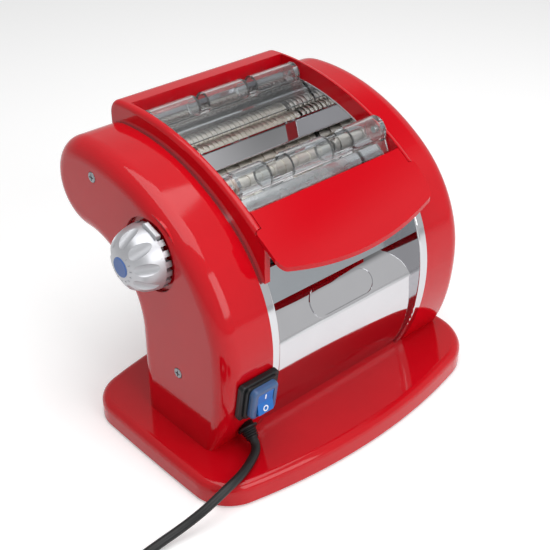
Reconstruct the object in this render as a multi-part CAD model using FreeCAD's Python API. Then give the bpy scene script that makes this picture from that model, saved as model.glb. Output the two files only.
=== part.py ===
"""Motorised pasta machine: rollers, cutters, gear train, thickness regulator, covers and cord.

Millimetres, +Z up, X along the rollers, -Y to the front, z = 0 on the floor.
Each node is written to parts/NODE.step.
"""
import FreeCAD, Part
import math
import os

os.makedirs("parts", exist_ok=True)

# Base
BASE_LEFT = -156.0
BASE_RIGHT = 140.0
BASE_FRONT = -102.0
BASE_BACK = 101.0
BASE_FRONT_X = -15.0
BASE_FRONT_RADIUS = 493.0
BASE_BACK_RADIUS = 500.0
BASE_SIDE_RADIUS = 2600.0
BASE_CORNER = 34.0
BASE_WIDE_CORNER = 50.0
BASE_EDGE = 7.0
FEET_X = (-127.5, 108.5)
FEET_Y = (-58.0, 62.0)
BASE_BOTTOM = 2.0
DECK = 20.0
BASE_WALL = 3.5

# Side profile: five tangent arcs and a straight back, in the YZ plane
LOWER_CENTRE = (100.0, 100.0)
LOWER_RADIUS = 163.5
FRONT_CENTRE = (48.5, 100.0)
FRONT_RADIUS = 112.0
FRONT_END_DEG = 127.0
CROWN_RADIUS = 184.0
CROWN_END_DEG = 85.6
LOBE_RADIUS = 38.0
NECK_RADIUS = 58.0
NECK_START_DEG = 268.2

# Walls along X
PLATE_IN = 77.0
PLATE_OUT = 80.0
RIM_OUT = 84.5
HOUSING_FACE = 130.0
HOUSING_WALL = 2.5
RIM_DEPTH = 4.0

# Rollers
SMOOTH_R = 16.0
ROLLER_HALF = 75.5
REST_GAP = 2.4
GAP_TRAVEL = 2.0
S1 = (18.0, 167.5)
CLOSE_DIR = (-0.99100, -0.13387)
CUTTER_R = 9.5
CORE_R = 8.15
WIDE = ((47.0, 175.0), (65.0, 175.0))
FINE = ((84.0, 188.0), (102.0, 188.0))
WIDE_PITCH = 13.0
FINE_PITCH = 4.9
JOURNAL_R = 5.0
CUTTER_JOURNAL_R = 4.0
RUN_FIT = 0.05

# Gears: planes along X, modules and teeth
PLANE_A = (85.5, 89.5)
PLANE_B = (91.0, 96.0)
PLANE_C = (98.0, 103.0)
SMOOTH_MODULE = 1.67
SMOOTH_TEETH = 20
BULL_SMALL_TEETH = 40
FINE_MODULE = 1.0
CUTTER_TEETH = 18
BULL_LARGE_TEETH = 80
IDLER_J_TEETH = 47
IDLER_K_TEETH = 30
PINION_TEETH = 12
BULL = (-8.55, 113.366)
AXLE_R = 3.0

# Hood, visor and guards
HOOD_CENTRE = (100.0, 1.0)
HOOD_RADIUS = 240.0
VISOR_THICK = 2.6
VISOR_CORNER = 9.0
VISOR_HINGE = (-31.0, 197.6)
FRONT_GUARD = (-7.5, 211.0)
REAR_GUARD = (89.0, 229.6)
FRONT_GUARD_R = 11.0
REAR_GUARD_R = 9.0
GUARD_WALL = 2.2
GUARD_PIN_R = 2.5

# Regulator
KNOB_BACK = -129.0
KNOB_SKIRT_X = -134.0
KNOB_SKIRT_R = 25.6
KNOB_DOME = ((-140.0, 24.3), (-146.0, 22.3), (-150.2, 19.4), (-153.2, 14.6), (-155.2, 8.8))
KNOB_CAP_R = 7.8
SPRING_R = 6.6
SPRING_PITCH = 1.85
SPRING_TURNS = 4
KNOB_NOTCHES = 20
KNOB_SCOOPS = 9
KNOB_SCOOP_X = -140.0
KNOB_SCOOP_R = 6.0
KNOB_SCOOP_SLOPE = 0.7
KNOB_TAB_R = 28.4
KNOB_TAB_DEG = 20.0
CAM_R0 = 8.0
CAM_RANGE_DEG = 150.0

# Mains cord
CORD_R = 3.5
COIL_CENTRE = (-266.0, -130.0)
COIL_Z = 4.7
COIL_PITCH = 7.7
COIL_OUTER_R = 47.5
COIL_LAYER_TURNS = 3
PLUG_TAIL = 31.0

# Middle of the machine's outline on the floor, without the cord: the origin of the exported nodes
ORIGIN = (-8.0, 19.516)

X_AXIS = FreeCAD.Vector(1, 0, 0)


def vec(x, y, z):
    return FreeCAD.Vector(x, y, z)


def at_angle(centre, radius, degrees):
    angle = math.radians(degrees)
    return (centre[0] + radius * math.cos(angle), centre[1] + radius * math.sin(angle))


def box(x0, x1, y0, y1, z0, z1):
    return Part.makeBox(x1 - x0, y1 - y0, z1 - z0, vec(x0, y0, z0))


def rod(x0, x1, radius, axis):
    """Cylinder along X between two x values about a YZ axis point."""
    return Part.makeCylinder(radius, abs(x1 - x0), vec(min(x0, x1), axis[0], axis[1]), X_AXIS)


def post(x, y, z0, z1, radius):
    return Part.makeCylinder(radius, z1 - z0, vec(x, y, z0))


def join(shapes):
    shapes = list(shapes)
    result = shapes[0]
    if len(shapes) > 1:
        result = result.multiFuse(shapes[1:])
    return result.removeSplitter()


def group(shapes):
    return Part.makeCompound(list(shapes))


def mirrored(shape):
    return shape.mirror(vec(0, 0, 0), X_AXIS)


def save(name, shape):
    if shape.isNull() or not shape.isValid():
        raise ValueError("bad shape " + name)
    shape = shape.copy()
    shape.translate(vec(-ORIGIN[0], -ORIGIN[1], 0))
    shape.exportStep("parts/" + name + ".step")
    print(name, "solids", len(shape.Solids), "cm3", round(shape.Volume / 1000, 2))


def line_edge(p, q):
    return Part.makeLine(vec(0, *p), vec(0, *q))


def arc_edge(centre, radius, start, end):
    """YZ arc between two angles in degrees, through its middle."""
    pts = [at_angle(centre, radius, a) for a in (start, (start + end) / 2, end)]
    return Part.Arc(*[vec(0, *p) for p in pts]).toShape()


def extrude_yz(edges, x0, x1):
    wire = Part.Wire(Part.__sortEdges__(edges))
    solid = Part.Face(wire).extrude(vec(x1 - x0, 0, 0))
    solid.translate(vec(x0, 0, 0))
    return solid


def polygon_yz(points, x0, x1):
    closed = list(points) + [points[0]]
    wire = Part.makePolygon([vec(0, *p) for p in closed])
    solid = Part.Face(wire).extrude(vec(x1 - x0, 0, 0))
    solid.translate(vec(x0, 0, 0))
    return solid


CROWN_CENTRE = at_angle(FRONT_CENTRE, FRONT_RADIUS - CROWN_RADIUS, FRONT_END_DEG)
LOBE_CENTRE = at_angle(CROWN_CENTRE, CROWN_RADIUS - LOBE_RADIUS, CROWN_END_DEG)
NECK_CENTRE = at_angle(LOBE_CENTRE, LOBE_RADIUS + NECK_RADIUS, NECK_START_DEG)


def profile_edges(inset, bottom):
    """Outline of the machine seen from the side, moved inwards by inset."""
    low_r = LOWER_RADIUS - inset
    neck_r = NECK_RADIUS + inset
    low_deg = 180 + math.degrees(math.asin((LOWER_CENTRE[1] - bottom) / low_r))
    back_y = NECK_CENTRE[0] - neck_r
    start = at_angle(LOWER_CENTRE, low_r, low_deg)
    return [
        arc_edge(LOWER_CENTRE, low_r, low_deg, 180),
        arc_edge(FRONT_CENTRE, FRONT_RADIUS - inset, 180, FRONT_END_DEG),
        arc_edge(CROWN_CENTRE, CROWN_RADIUS - inset, FRONT_END_DEG, CROWN_END_DEG),
        arc_edge(LOBE_CENTRE, LOBE_RADIUS - inset, CROWN_END_DEG, NECK_START_DEG - 360),
        arc_edge(NECK_CENTRE, neck_r, NECK_START_DEG - 180, 180),
        line_edge((back_y, NECK_CENTRE[1]), (back_y, bottom)),
        line_edge((back_y, bottom), start),
    ]


def profile_prism(inset, bottom, x0, x1):
    return extrude_yz(profile_edges(inset, bottom), x0, x1)


def hood_disc(inset, x0, x1):
    return rod(x0, x1, HOOD_RADIUS - inset, HOOD_CENTRE)


def base_plan(inset, z0, z1):
    """Base outline: four shallow arcs with rounded corners, the right front one wider, as a prism."""
    front_r = BASE_FRONT_RADIUS - inset
    back_r = BASE_BACK_RADIUS - inset
    side_r = BASE_SIDE_RADIUS - inset
    solid = post(BASE_FRONT_X, BASE_FRONT + BASE_FRONT_RADIUS, z0, z1, front_r)
    middle = (BASE_LEFT + BASE_RIGHT) / 2
    solid = solid.common(post(middle, BASE_BACK - BASE_BACK_RADIUS, z0, z1, back_r))
    for centre in (BASE_LEFT + BASE_SIDE_RADIUS, BASE_RIGHT - BASE_SIDE_RADIUS):
        solid = solid.common(post(centre, 0, z0, z1, side_r))
    for wide, radius in ((True, BASE_WIDE_CORNER), (False, BASE_CORNER)):
        corners = []
        for edge in solid.Edges:
            a, b = edge.Vertexes[0].Point, edge.Vertexes[-1].Point
            if abs(a.x - b.x) + abs(a.y - b.y) < 1e-6 and (a.x > 0 and a.y < 0) == wide:
                corners.append(edge)
        solid = solid.makeFillet(radius - inset, corners)
    return solid


def flat_edges(shape, z):
    return [e for e in shape.Edges if all(abs(v.Point.z - z) < 1e-4 for v in e.Vertexes)]


def face_edges(shape, x):
    return [e for e in shape.Edges if all(abs(v.Point.x - x) < 1e-4 for v in e.Vertexes)]


def outer_edges(shape, axis, value):
    """Edges of the outer boundary of the face on a plane normal to axis."""
    found = []
    for face in shape.Faces:
        box_ = face.BoundBox
        low, high = (box_.XMin, box_.XMax) if axis == "x" else (box_.ZMin, box_.ZMax)
        if abs(low - value) < 1e-4 and abs(high - value) < 1e-4:
            found.extend(face.OuterWire.Edges)
    return found


# Involute gears


def tooth_half(radius, pitch_r, thick):
    """Half angle of a 20 degree involute tooth at a radius."""
    base_r = pitch_r * math.cos(math.radians(20))
    rho = max(radius, base_r)
    turn = math.acos(base_r / rho)
    involute = math.tan(turn) - turn
    alpha = math.radians(20)
    return thick / (2 * pitch_r) + (math.tan(alpha) - alpha) - involute


def gear(centre, teeth, module, plane, phase, extra=0.0, play=0.12):
    """Spur gear with a tooth on the angle phase (radians); extra deepens the roots."""
    pitch_r = teeth * module / 2
    thick = math.pi * module / 2 - play
    tip_r = pitch_r + 0.95 * module
    root_r = pitch_r - 1.25 * module - extra
    radii = (root_r, pitch_r, tip_r)
    halves = [max(tooth_half(r, pitch_r, thick), 0.12 * module / r) for r in radii]
    points = []
    for k in range(teeth):
        mid = phase + 2 * math.pi * k / teeth
        left = [(r, mid - h) for r, h in zip(radii, halves)]
        right = [(r, mid + h) for r, h in zip(reversed(radii), reversed(halves))]
        for r, angle in left + right:
            points.append((centre[0] + r * math.cos(angle), centre[1] + r * math.sin(angle)))
    return polygon_yz(points, plane[0], plane[1])


def heading(a, b):
    return math.atan2(b[1] - a[1], b[0] - a[0])


def meshing(phase, teeth, towards, other_teeth):
    """Phase of the gear that meshes on the direction towards with one at a known phase."""
    step = 2 * math.pi / other_teeth
    return towards + math.pi - (teeth / other_teeth) * (phase - towards) + step / 2


def meet(a, ra, b, rb, side):
    """Point at ra from a and rb from b, on one side of the line from a to b."""
    span = math.dist(a, b)
    along = (ra * ra - rb * rb + span * span) / (2 * span)
    off = side * math.sqrt(ra * ra - along * along)
    ux, uy = (b[0] - a[0]) / span, (b[1] - a[1]) / span
    return (a[0] + along * ux - off * uy, a[1] + along * uy + off * ux)


S2 = (S1[0] + (2 * SMOOTH_R + REST_GAP) * CLOSE_DIR[0], S1[1] + (2 * SMOOTH_R + REST_GAP) * CLOSE_DIR[1])
W1, W2 = WIDE
F1, F2 = FINE
MODULE_SUM_JB = (BULL_LARGE_TEETH + IDLER_J_TEETH) * FINE_MODULE / 2
MODULE_SUM_JW = (CUTTER_TEETH + IDLER_J_TEETH) * FINE_MODULE / 2
MODULE_SUM_K = (CUTTER_TEETH + IDLER_K_TEETH) * FINE_MODULE / 2
J_AXIS = meet(BULL, MODULE_SUM_JB, W2, MODULE_SUM_JW, 1)
K_AXIS = meet(W2, MODULE_SUM_K, F2, MODULE_SUM_K, -1)
PINION = (BULL[0], BULL[1] - (BULL_LARGE_TEETH + PINION_TEETH) * FINE_MODULE / 2)


def base_nodes():
    body = base_plan(0, BASE_BOTTOM, DECK)
    body = body.makeFillet(BASE_EDGE, flat_edges(body, DECK))
    roof = DECK - 4.5
    pocket = base_plan(BASE_WALL, BASE_BOTTOM - 1, roof)
    cover = base_plan(BASE_WALL + 0.4, BASE_BOTTOM + 1.0, BASE_BOTTOM + 2.5)
    spots = [(x, y) for x in FEET_X for y in FEET_Y]
    bosses = [post(x, y, BASE_BOTTOM + 2.5, roof, 5) for x, y in spots]
    save("base_tray", join([body.cut(pocket)] + bosses))
    save("base_cover", cover)
    feet = []
    for x, y in spots:
        foot = Part.makeCone(11.5, 13.0, BASE_BOTTOM + 1.0, vec(x, y, 0))
        feet.append(foot.makeFillet(0.8, flat_edges(foot, 0)))
    save("rubber_feet", group(feet))


def housing(side):
    """Hollow end cover with an outer edge that softens from the front foot to the back."""
    body = profile_prism(0, DECK, RIM_OUT, HOUSING_FACE)
    edges = [e for e in outer_edges(body, "x", HOUSING_FACE) if e.CenterOfMass.z > DECK + 1]
    edges.sort(key=lambda e: e.CenterOfMass.y + 0.3 * e.CenterOfMass.z)
    body = body.makeFillet(5.5, 15.0, [edges[0]])
    body = body.cut(profile_prism(HOUSING_WALL, DECK - 1, RIM_OUT - 1, 115.0))
    body = body.cut(profile_prism(10.0, DECK - 1, 114.0, HOUSING_FACE - HOUSING_WALL))
    for y, z in ((84.8, 204.0), (-8.0, 75.8)):
        body = body.fuse(rod(112, HOUSING_FACE - 2, 6, (y, z)))
        body = body.cut(rod(111, HOUSING_FACE + 1, 1.8, (y, z)))
        body = body.cut(rod(HOUSING_FACE - 1.4, HOUSING_FACE + 1, 4.4, (y, z)))
    return mirrored(body) if side < 0 else body


def screw(y, z):
    head = rod(HOUSING_FACE - 1.4, HOUSING_FACE + 0.6, 4.1, (y, z))
    head = head.makeFillet(0.6, face_edges(head, HOUSING_FACE + 0.6))
    for w, h in ((2.6, 0.5), (0.5, 2.6)):
        head = head.cut(box(HOUSING_FACE - 0.3, HOUSING_FACE + 1, y - w, y + w, z - h, z + h))
    return head.fuse(rod(113, HOUSING_FACE - 1.4, 1.8, (y, z)))


def switch_place(shape):
    """Move a shape from the switch frame (x, v up, w out) to the front band of the left housing."""
    shape = shape.copy()
    shape.rotate(vec(0, 0, 0), X_AXIS, 90 + SWITCH_TILT)
    shape.translate(vec(*SWITCH_AT))
    return shape


KEY_WIDE = 14.6
KEY_HIGH = 18.4
KEY_PIVOT = 5.0
KEY_RIDGE = 11.6
KEY_RAISED_DEG = 16.5
KEY_PRESSED_DEG = 0.5
SWITCH_TILT = math.degrees(math.asin((LOWER_CENTRE[1] - 74.0) / LOWER_RADIUS))
SWITCH_AT = (-101.0, LOWER_CENTRE[0] - LOWER_RADIUS * math.cos(math.radians(SWITCH_TILT)), 74.0)


def block(w, h, z0, z1, radius):
    """Upright rounded block in the switch frame."""
    solid = box(-w / 2, w / 2, -h / 2, h / 2, z0, z1)
    upright = [e for e in solid.Edges if abs(e.Vertexes[0].Point.z - e.Vertexes[-1].Point.z) > 0.5]
    return solid.makeFillet(radius, upright)


def switch_nodes():
    well = block(17.0, 24.0, -20, 20, 1.0)
    bezel = block(36, 34, 0.6, 5.0, 3.5)
    bezel = bezel.makeFillet(1.2, flat_edges(bezel, 5.0))
    step = block(30, 31, 4.0, 7.2, 4.0)
    step = step.makeFillet(1.0, flat_edges(step, 7.2))
    bezel = join([bezel, step, block(31, 30, -16, 2, 2)]).cut(well)
    bezel = bezel.fuse(block(30, 29, -16, -15, 2))
    pivot = Part.makeCylinder(2.0, 18.0, vec(-9.0, 0, KEY_PIVOT), X_AXIS)
    save("switch_bezel", switch_place(join([bezel, pivot])))
    boot = block(24.6, 28, 7.2, KEY_RIDGE + 0.4, 4.5)
    boot = boot.makeFillet(2.2, flat_edges(boot, KEY_RIDGE + 0.4))
    opening = block(KEY_WIDE + 1.0, 21.4, 0, 20, 1.2)
    opening.translate(vec(0, -1.2, 0))
    save("switch_boot", switch_place(boot.cut(opening)))
    rocker = block(KEY_WIDE, KEY_HIGH, -3.0, 20, 0.8)
    for tilt in (-KEY_RAISED_DEG, KEY_PRESSED_DEG):
        plane = box(-20, 20, 0, 40, 0, 40) if tilt > 0 else box(-20, 20, -40, 0, 0, 40)
        plane.rotate(vec(0, 0, 0), X_AXIS, tilt)
        plane.translate(vec(0, 0, KEY_RIDGE))
        rocker = rocker.cut(plane)
    rocker = rocker.cut(Part.makeCylinder(2.05, 30, vec(-15, 0, KEY_PIVOT), X_AXIS))
    save("switch_rocker", switch_place(rocker))


def knob_axis_rod(x0, x1, radius):
    return rod(x0, x1, radius, S1)


def housing_nodes():
    right = housing(1)
    save("right_housing", right)
    left = housing(-1)
    left = left.fuse(knob_axis_rod(-128, -118, 34).common(profile_prism(1.0, DECK, -129, -117)))
    left = left.cut(knob_axis_rod(-131, -125.5, 29.0))
    left = left.cut(knob_axis_rod(-131, -100, 8.0))
    opening = switch_place(block(31, 30, -30, 12, 2))
    left = left.cut(opening)
    gland = Part.makeCylinder(6.0, 40, GLAND_AT + GLAND_DIR * -20, GLAND_DIR)
    left = left.cut(gland)
    save("left_housing", left)
    points = ((84.8, 204.0), (-8.0, 75.8))
    screws = [screw(y, z) for y, z in points]
    save("housing_screws", group(screws + [mirrored(s) for s in screws]))


GLAND_DIR = FreeCAD.Vector(-0.10, -0.82, -0.56)
GLAND_DIR.normalize()
GLAND_AT = vec(-101.0, LOWER_CENTRE[0] - math.sqrt(LOWER_RADIUS ** 2 - 64.0 ** 2), 36.0)


def bush_list():
    return [(S2, JOURNAL_R, 8.0), (W1, CUTTER_JOURNAL_R, 6.2), (W2, CUTTER_JOURNAL_R, 6.2),
            (F1, CUTTER_JOURNAL_R, 6.2), (F2, CUTTER_JOURNAL_R, 6.2)]


TIE_AXES = ((-41.0, 108.0), (-30.0, 34.0), (30.0, 34.0), (28.0, 96.0), (122.0, 206.0))


def local(along, perp):
    """Point in the adjuster frame: along towards the fixed roller, perp upwards."""
    dy, dz = CLOSE_DIR
    return (S1[0] + along * dy + perp * dz, S1[1] + along * dz - perp * dy)


def slot_prism(along0, along1, perp0, perp1, x0, x1):
    corners = ((along0, perp0), (along1, perp0), (along1, perp1), (along0, perp1))
    return polygon_yz([local(a, p) for a, p in corners], x0, x1)


def journal_slot(radius):
    """Slot with round ends for the travel of the adjustable roller's journal."""
    lean = math.degrees(math.atan2(CLOSE_DIR[1], CLOSE_DIR[0]))
    far = local(GAP_TRAVEL, 0)
    ends = [(S1, lean + 90), (S1, lean + 270), (far, lean + 270), (far, lean + 450)]
    p = [at_angle(c, radius, a) for c, a in ends]
    edges = [arc_edge(S1, radius, lean + 90, lean + 270), line_edge(p[1], p[2]),
             arc_edge(far, radius, lean + 270, lean + 450), line_edge(p[3], p[0])]
    return extrude_yz(edges, PLATE_IN - 1, PLATE_OUT + 1)


def side_plate(side):
    plate = profile_prism(0, DECK, PLATE_IN, RIM_OUT)
    rim_edges = [e for e in outer_edges(plate, "x", PLATE_IN) if e.CenterOfMass.z > DECK + 1]
    plate = plate.makeFillet(1.6, rim_edges)
    plate = plate.cut(profile_prism(RIM_DEPTH, DECK + RIM_DEPTH, PLATE_OUT, RIM_OUT + 1))
    for axis, _, outer in bush_list():
        plate = plate.cut(rod(PLATE_IN - 1, PLATE_OUT + 1, outer, axis))
    for axis in TIE_AXES:
        plate = plate.cut(rod(PLATE_IN - 1, PLATE_OUT + 1, 2.5, axis))
    plate = plate.cut(journal_slot(JOURNAL_R + 0.6))
    if side < 0:
        return mirrored(plate)
    for axis in (BULL, J_AXIS, K_AXIS):
        plate = plate.cut(rod(PLATE_IN - 1, PLATE_OUT + 1, AXLE_R, axis))
    return plate.cut(rod(PLATE_IN - 1, PLATE_OUT + 1, 6.0, PINION))


def frame_nodes():
    save("left_side_plate", side_plate(-1))
    save("right_side_plate", side_plate(1))
    bushes = []
    for axis, journal, outer in bush_list():
        bush = rod(PLATE_IN, 82.5, outer, axis).fuse(rod(PLATE_OUT, 82.5, outer + 1.4, axis))
        bush = bush.cut(rod(70, 90, journal + RUN_FIT, axis))
        bushes.extend([bush, mirrored(bush)])
    save("roller_bushes", group(bushes))
    rods = []
    nuts = []
    for axis in TIE_AXES:
        rods.append(rod(-PLATE_IN, PLATE_IN, 4.5, axis).fuse(rod(-84, 84, 2.5, axis)))
        nut = rod(PLATE_OUT, 83.5, 5.0, axis).cut(rod(70, 90, 2.5, axis))
        nuts.extend([nut, mirrored(nut)])
    save("tie_rods", group(rods + nuts))
    axles = []
    for axis in (BULL, J_AXIS, K_AXIS):
        axles.append(rod(PLATE_IN, 106.5, AXLE_R, axis).fuse(rod(PLATE_OUT, 83.5, 4.8, axis)))
        axles.append(rod(104.6, 105.8, 5.5, axis).cut(rod(100, 110, AXLE_R, axis)))
    save("gear_axles", group(axles))
    guides = []
    for perp in (14.05, -19.05):
        strip = slot_prism(-14, 18, perp, perp + 5, PLATE_OUT, 88)
        guides.extend([strip, mirrored(strip)])
    save("carrier_guides", group(guides))


def sheet_edges(centre, r_in, r_out, a0, a1):
    p = [at_angle(centre, r, a) for r, a in ((r_in, a0), (r_out, a0), (r_out, a1), (r_in, a1))]
    return [arc_edge(centre, r_in, a0, a1), arc_edge(centre, r_out, a0, a1),
            line_edge(p[0], p[1]), line_edge(p[3], p[2])]


PANEL_FACE = -57.0
PANEL_LOW_Z = 84.0
PANEL_LOW_R = 130.0
PANEL_FOLD_Z = 98.7
PANEL_FOLD_DEG = 18.0
PANEL_TOP_R = 47.0
PANEL_TOP_DEG = 55.0
PANEL_THICK = 1.4
PANEL_HALF = PLATE_IN
FOLD = math.radians(PANEL_FOLD_DEG)
PANEL_TOP = (PANEL_FACE + PANEL_TOP_R * math.cos(FOLD), PANEL_FOLD_Z - PANEL_TOP_R * math.sin(FOLD))
PILL_DEG = 36.0


def pill(length, height):
    """Stadium prism square to the rolled top of the front panel."""
    half = (length - height) / 2
    shape = box(-half, half, -12, 12, -height / 2, height / 2)
    for side in (-1, 1):
        shape = shape.fuse(Part.makeCylinder(height / 2, 24, vec(side * half, -12, 0), vec(0, 1, 0)))
    shape.rotate(vec(0, 0, 0), X_AXIS, -PILL_DEG)
    spot = at_angle(PANEL_TOP, PANEL_TOP_R, 180 - PILL_DEG)
    shape.translate(vec(0, spot[0], spot[1]))
    return shape


def front_panel():
    """Sheet that bows out from the deck, folds and rolls back at the top, with a bare raised border."""
    low_centre = (PANEL_FACE + PANEL_LOW_R, PANEL_LOW_Z)
    low_deg = 180 + math.degrees(math.asin((PANEL_LOW_Z - DECK + 2.0) / PANEL_LOW_R))
    lower = sheet_edges(low_centre, PANEL_LOW_R - PANEL_THICK, PANEL_LOW_R, 180, low_deg)
    top_deg = 180 - PANEL_TOP_DEG
    upper = sheet_edges(PANEL_TOP, PANEL_TOP_R - PANEL_THICK, PANEL_TOP_R, 180 - PANEL_FOLD_DEG, top_deg)
    flat = box(-PANEL_HALF, PANEL_HALF, PANEL_FACE, PANEL_FACE + PANEL_THICK, PANEL_LOW_Z, PANEL_FOLD_Z)
    sheets = [flat] + [extrude_yz(edges, -PANEL_HALF, PANEL_HALF) for edges in (lower, upper)]
    panel = join(sheets).common(box(-100, 100, -100, 100, DECK, 300))
    bounds = (179 - PANEL_FOLD_DEG, top_deg + 1)
    layer = extrude_yz(sheet_edges(PANEL_TOP, PANEL_TOP_R - 0.3, PANEL_TOP_R + 0.9, *bounds), -60, 60)
    inner = extrude_yz(sheet_edges(PANEL_TOP, PANEL_TOP_R - 1, PANEL_TOP_R + 0.35, *bounds), -60, 60)
    border = pill(68, 25).cut(pill(63.4, 20.4)).common(layer)
    return join([panel, border, pill(63.6, 20.6).common(inner)])


def bent_sheet(points, thick, half):
    """Folded sheet through YZ points; thickness on the right-hand side of travel."""
    pieces = []
    for p, q in zip(points, points[1:]):
        run = math.dist(p, q)
        ny, nz = (q[1] - p[1]) / run * thick, -(q[0] - p[0]) / run * thick
        pieces.append(polygon_yz([p, q, (q[0] + ny, q[1] + nz), (p[0] + ny, p[1] + nz)], -half, half))
    for p in points[1:-1]:
        pieces.append(rod(-half, half, thick, p))
    return join(pieces)


def cover_nodes():
    save("front_panel", front_panel())
    guide = extrude_yz(sheet_edges(S2, 19.6, 20.8, 216, 322), -PLATE_IN, PLATE_IN)
    ends = [at_angle(PANEL_TOP, PANEL_TOP_R - t, 180 - PANEL_TOP_DEG) for t in (0, PANEL_THICK)]
    ends += [at_angle(S2, r, 216.2) for r in (19.7, 20.7)]
    lead = polygon_yz(ends, -PLATE_IN, PLATE_IN)
    save("sheet_guide", join([guide, lead]))
    back_y = NECK_CENTRE[0] - NECK_RADIUS
    neck_r = NECK_RADIUS
    neck_pts = [at_angle(NECK_CENTRE, neck_r, a) for a in (180, 172, 164, 156)]
    path = [(back_y, DECK)] + neck_pts + [(6.0, 145.0)]
    save("rear_panel", bent_sheet([(p[0] - 0.2, p[1]) for p in reversed(path)], 1.2, PLATE_IN))
    lobe_edges = sheet_edges(LOBE_CENTRE, LOBE_RADIUS - 1.6, LOBE_RADIUS - 0.4, 84, -84)
    lobe = extrude_yz(lobe_edges, -PLATE_IN, PLATE_IN)
    save("rear_cover", lobe)
    wall = bent_sheet([(107.5, 201.0), (112.5, 197.5), (112.5, 222.4)], 1.2, PLATE_IN)
    save("feed_wall", wall)
    bar = [(53.0, 188.2), (64.6, 199.6), (67.4, 199.9), (75.0, 196.0), (72.0, 190.0), (61.0, 187.0)]
    bar = polygon_yz(bar, -PLATE_IN, PLATE_IN)
    nose = [e for e in bar.Edges if abs(e.Length - 2 * PLATE_IN) < 1e-3]
    save("divider_bar", bar.makeFillet(1.2, nose))


def hood_region(x0, x1):
    """Space between the crown of the side plates and the hood cylinder."""
    space = box(x0, x1, -42.0, 60.0, 150, 260).fuse(box(x0, x1, 60.0, 128.5, 205, 260)).removeSplitter()
    solid = hood_disc(0, x0, x1).common(space)
    return solid.cut(profile_prism(0, DECK, x0 - 1, x1 + 1))


def hood_frame():
    full = hood_region(-82.0, 82.0)
    back_top = [e for e in full.Edges if abs(e.CenterOfMass.y - 128.5) < 1e-3 and e.Length > 100
                and e.CenterOfMass.z > 230]
    full = full.makeFillet(13.0, back_top)
    corners = [e for e in full.Edges if abs(abs(e.CenterOfMass.x) - 82.0) < 1e-3 and e.CenterOfMass.z > 200
               and min(v.Point.z for v in e.Vertexes) > 194]
    shoulder = [e for e in corners if e.Length > 60]
    full = full.makeFillet(4.0, shoulder)
    window = box(-PLATE_IN, PLATE_IN, -60, 105.0, 100, 300)
    full = full.cut(window)
    tongues = []
    for side in (-1, 1):
        x0, x1 = sorted((side * PLATE_IN, side * 82.0))
        tongue = hood_disc(VISOR_THICK + 0.6, x0, x1).common(box(x0, x1, -52.0, -42.0, 155, 230))
        tongues.append(tongue.cut(profile_prism(0, DECK, x0 - 1, x1 + 1)))
    full = join([full] + tongues)
    for axis, radius in ((VISOR_HINGE, 2.0), (FRONT_GUARD, GUARD_PIN_R), (REAR_GUARD, GUARD_PIN_R)):
        full = full.cut(rod(-80.5, 80.5, radius, axis))
    return full


def visor():
    """Curved flap with a bowed lower edge and two hinge ears."""
    shell = hood_disc(0, -90, 90).cut(hood_disc(VISOR_THICK, -91, 91))
    lower = [vec(80.0, -66.0, 100), vec(0, -75.5, 100), vec(-80.0, -66.0, 100)]
    edges = [Part.Arc(*lower).toShape()]
    rim = [(-80.0, -66.0), (-82.5, -44.5), (-81.0, -43.0), (-76.4, -42.4), (-76.4, -31.0), (76.4, -31.0),
           (76.4, -42.4), (81.0, -43.0), (82.5, -44.5), (80.0, -66.0)]
    edges += [Part.makeLine(vec(*p, 100), vec(*q, 100)) for p, q in zip(rim, rim[1:])]
    plan = Part.Face(Part.Wire(Part.__sortEdges__(edges))).extrude(vec(0, 0, 160))
    corners = [e for e in plan.Edges if e.Length > 150 and e.CenterOfMass.y < -65.9
               and abs(abs(e.CenterOfMass.x) - 80.0) < 0.1]
    plan = plan.makeFillet(VISOR_CORNER, corners)
    flap = shell.common(plan).common(box(-100, 100, -100, 0, 120, 260))
    for side in (-1, 1):
        ear = rod(side * 72.4, side * 76.4, 4.3, VISOR_HINGE)
        ear = ear.common(hood_disc(0, -90, 90))
        flap = flap.fuse(ear)
    return flap.cut(rod(-90, 90, 2.0 + RUN_FIT, VISOR_HINGE)).removeSplitter()


def guard(axis, radius, sections, plate_end, root_deg):
    """Clear finger guard: half tubes set alternately over and under the hinge line, and a hanging plate."""
    pieces = []
    inner = radius - GUARD_WALL
    for x0, x1, upper in sections:
        a0, a1 = (root_deg + 20, root_deg - 200) if upper else (root_deg - 20, root_deg + 170)
        pieces.append(extrude_yz(sheet_edges(axis, inner, radius, a0, a1), x0, x1))
    start = at_angle(axis, radius - 1.1, root_deg)
    x0 = sections[0][0]
    x1 = sections[-1][1]
    run = math.dist(start, plate_end)
    ny, nz = (plate_end[1] - start[1]) / run * 1.1, -(plate_end[0] - start[0]) / run * 1.1
    corners = [(start[0] + ny, start[1] + nz), (plate_end[0] + ny, plate_end[1] + nz)]
    corners += [(plate_end[0] - ny, plate_end[1] - nz), (start[0] - ny, start[1] - nz)]
    pieces.append(polygon_yz(corners, x0, x1))
    for x in (x0 + 2.0, x1 - 2.0):
        web = rod(x - 2.0, x + 2.0, radius - 0.5, axis)
        pieces.append(web.cut(rod(-100, 100, GUARD_PIN_R + RUN_FIT, axis)))
    for section in sections[1:]:
        pieces.append(rod(section[0] - 0.8, section[0] + 0.8, radius - 0.4, axis))
    return join(pieces)


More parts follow.
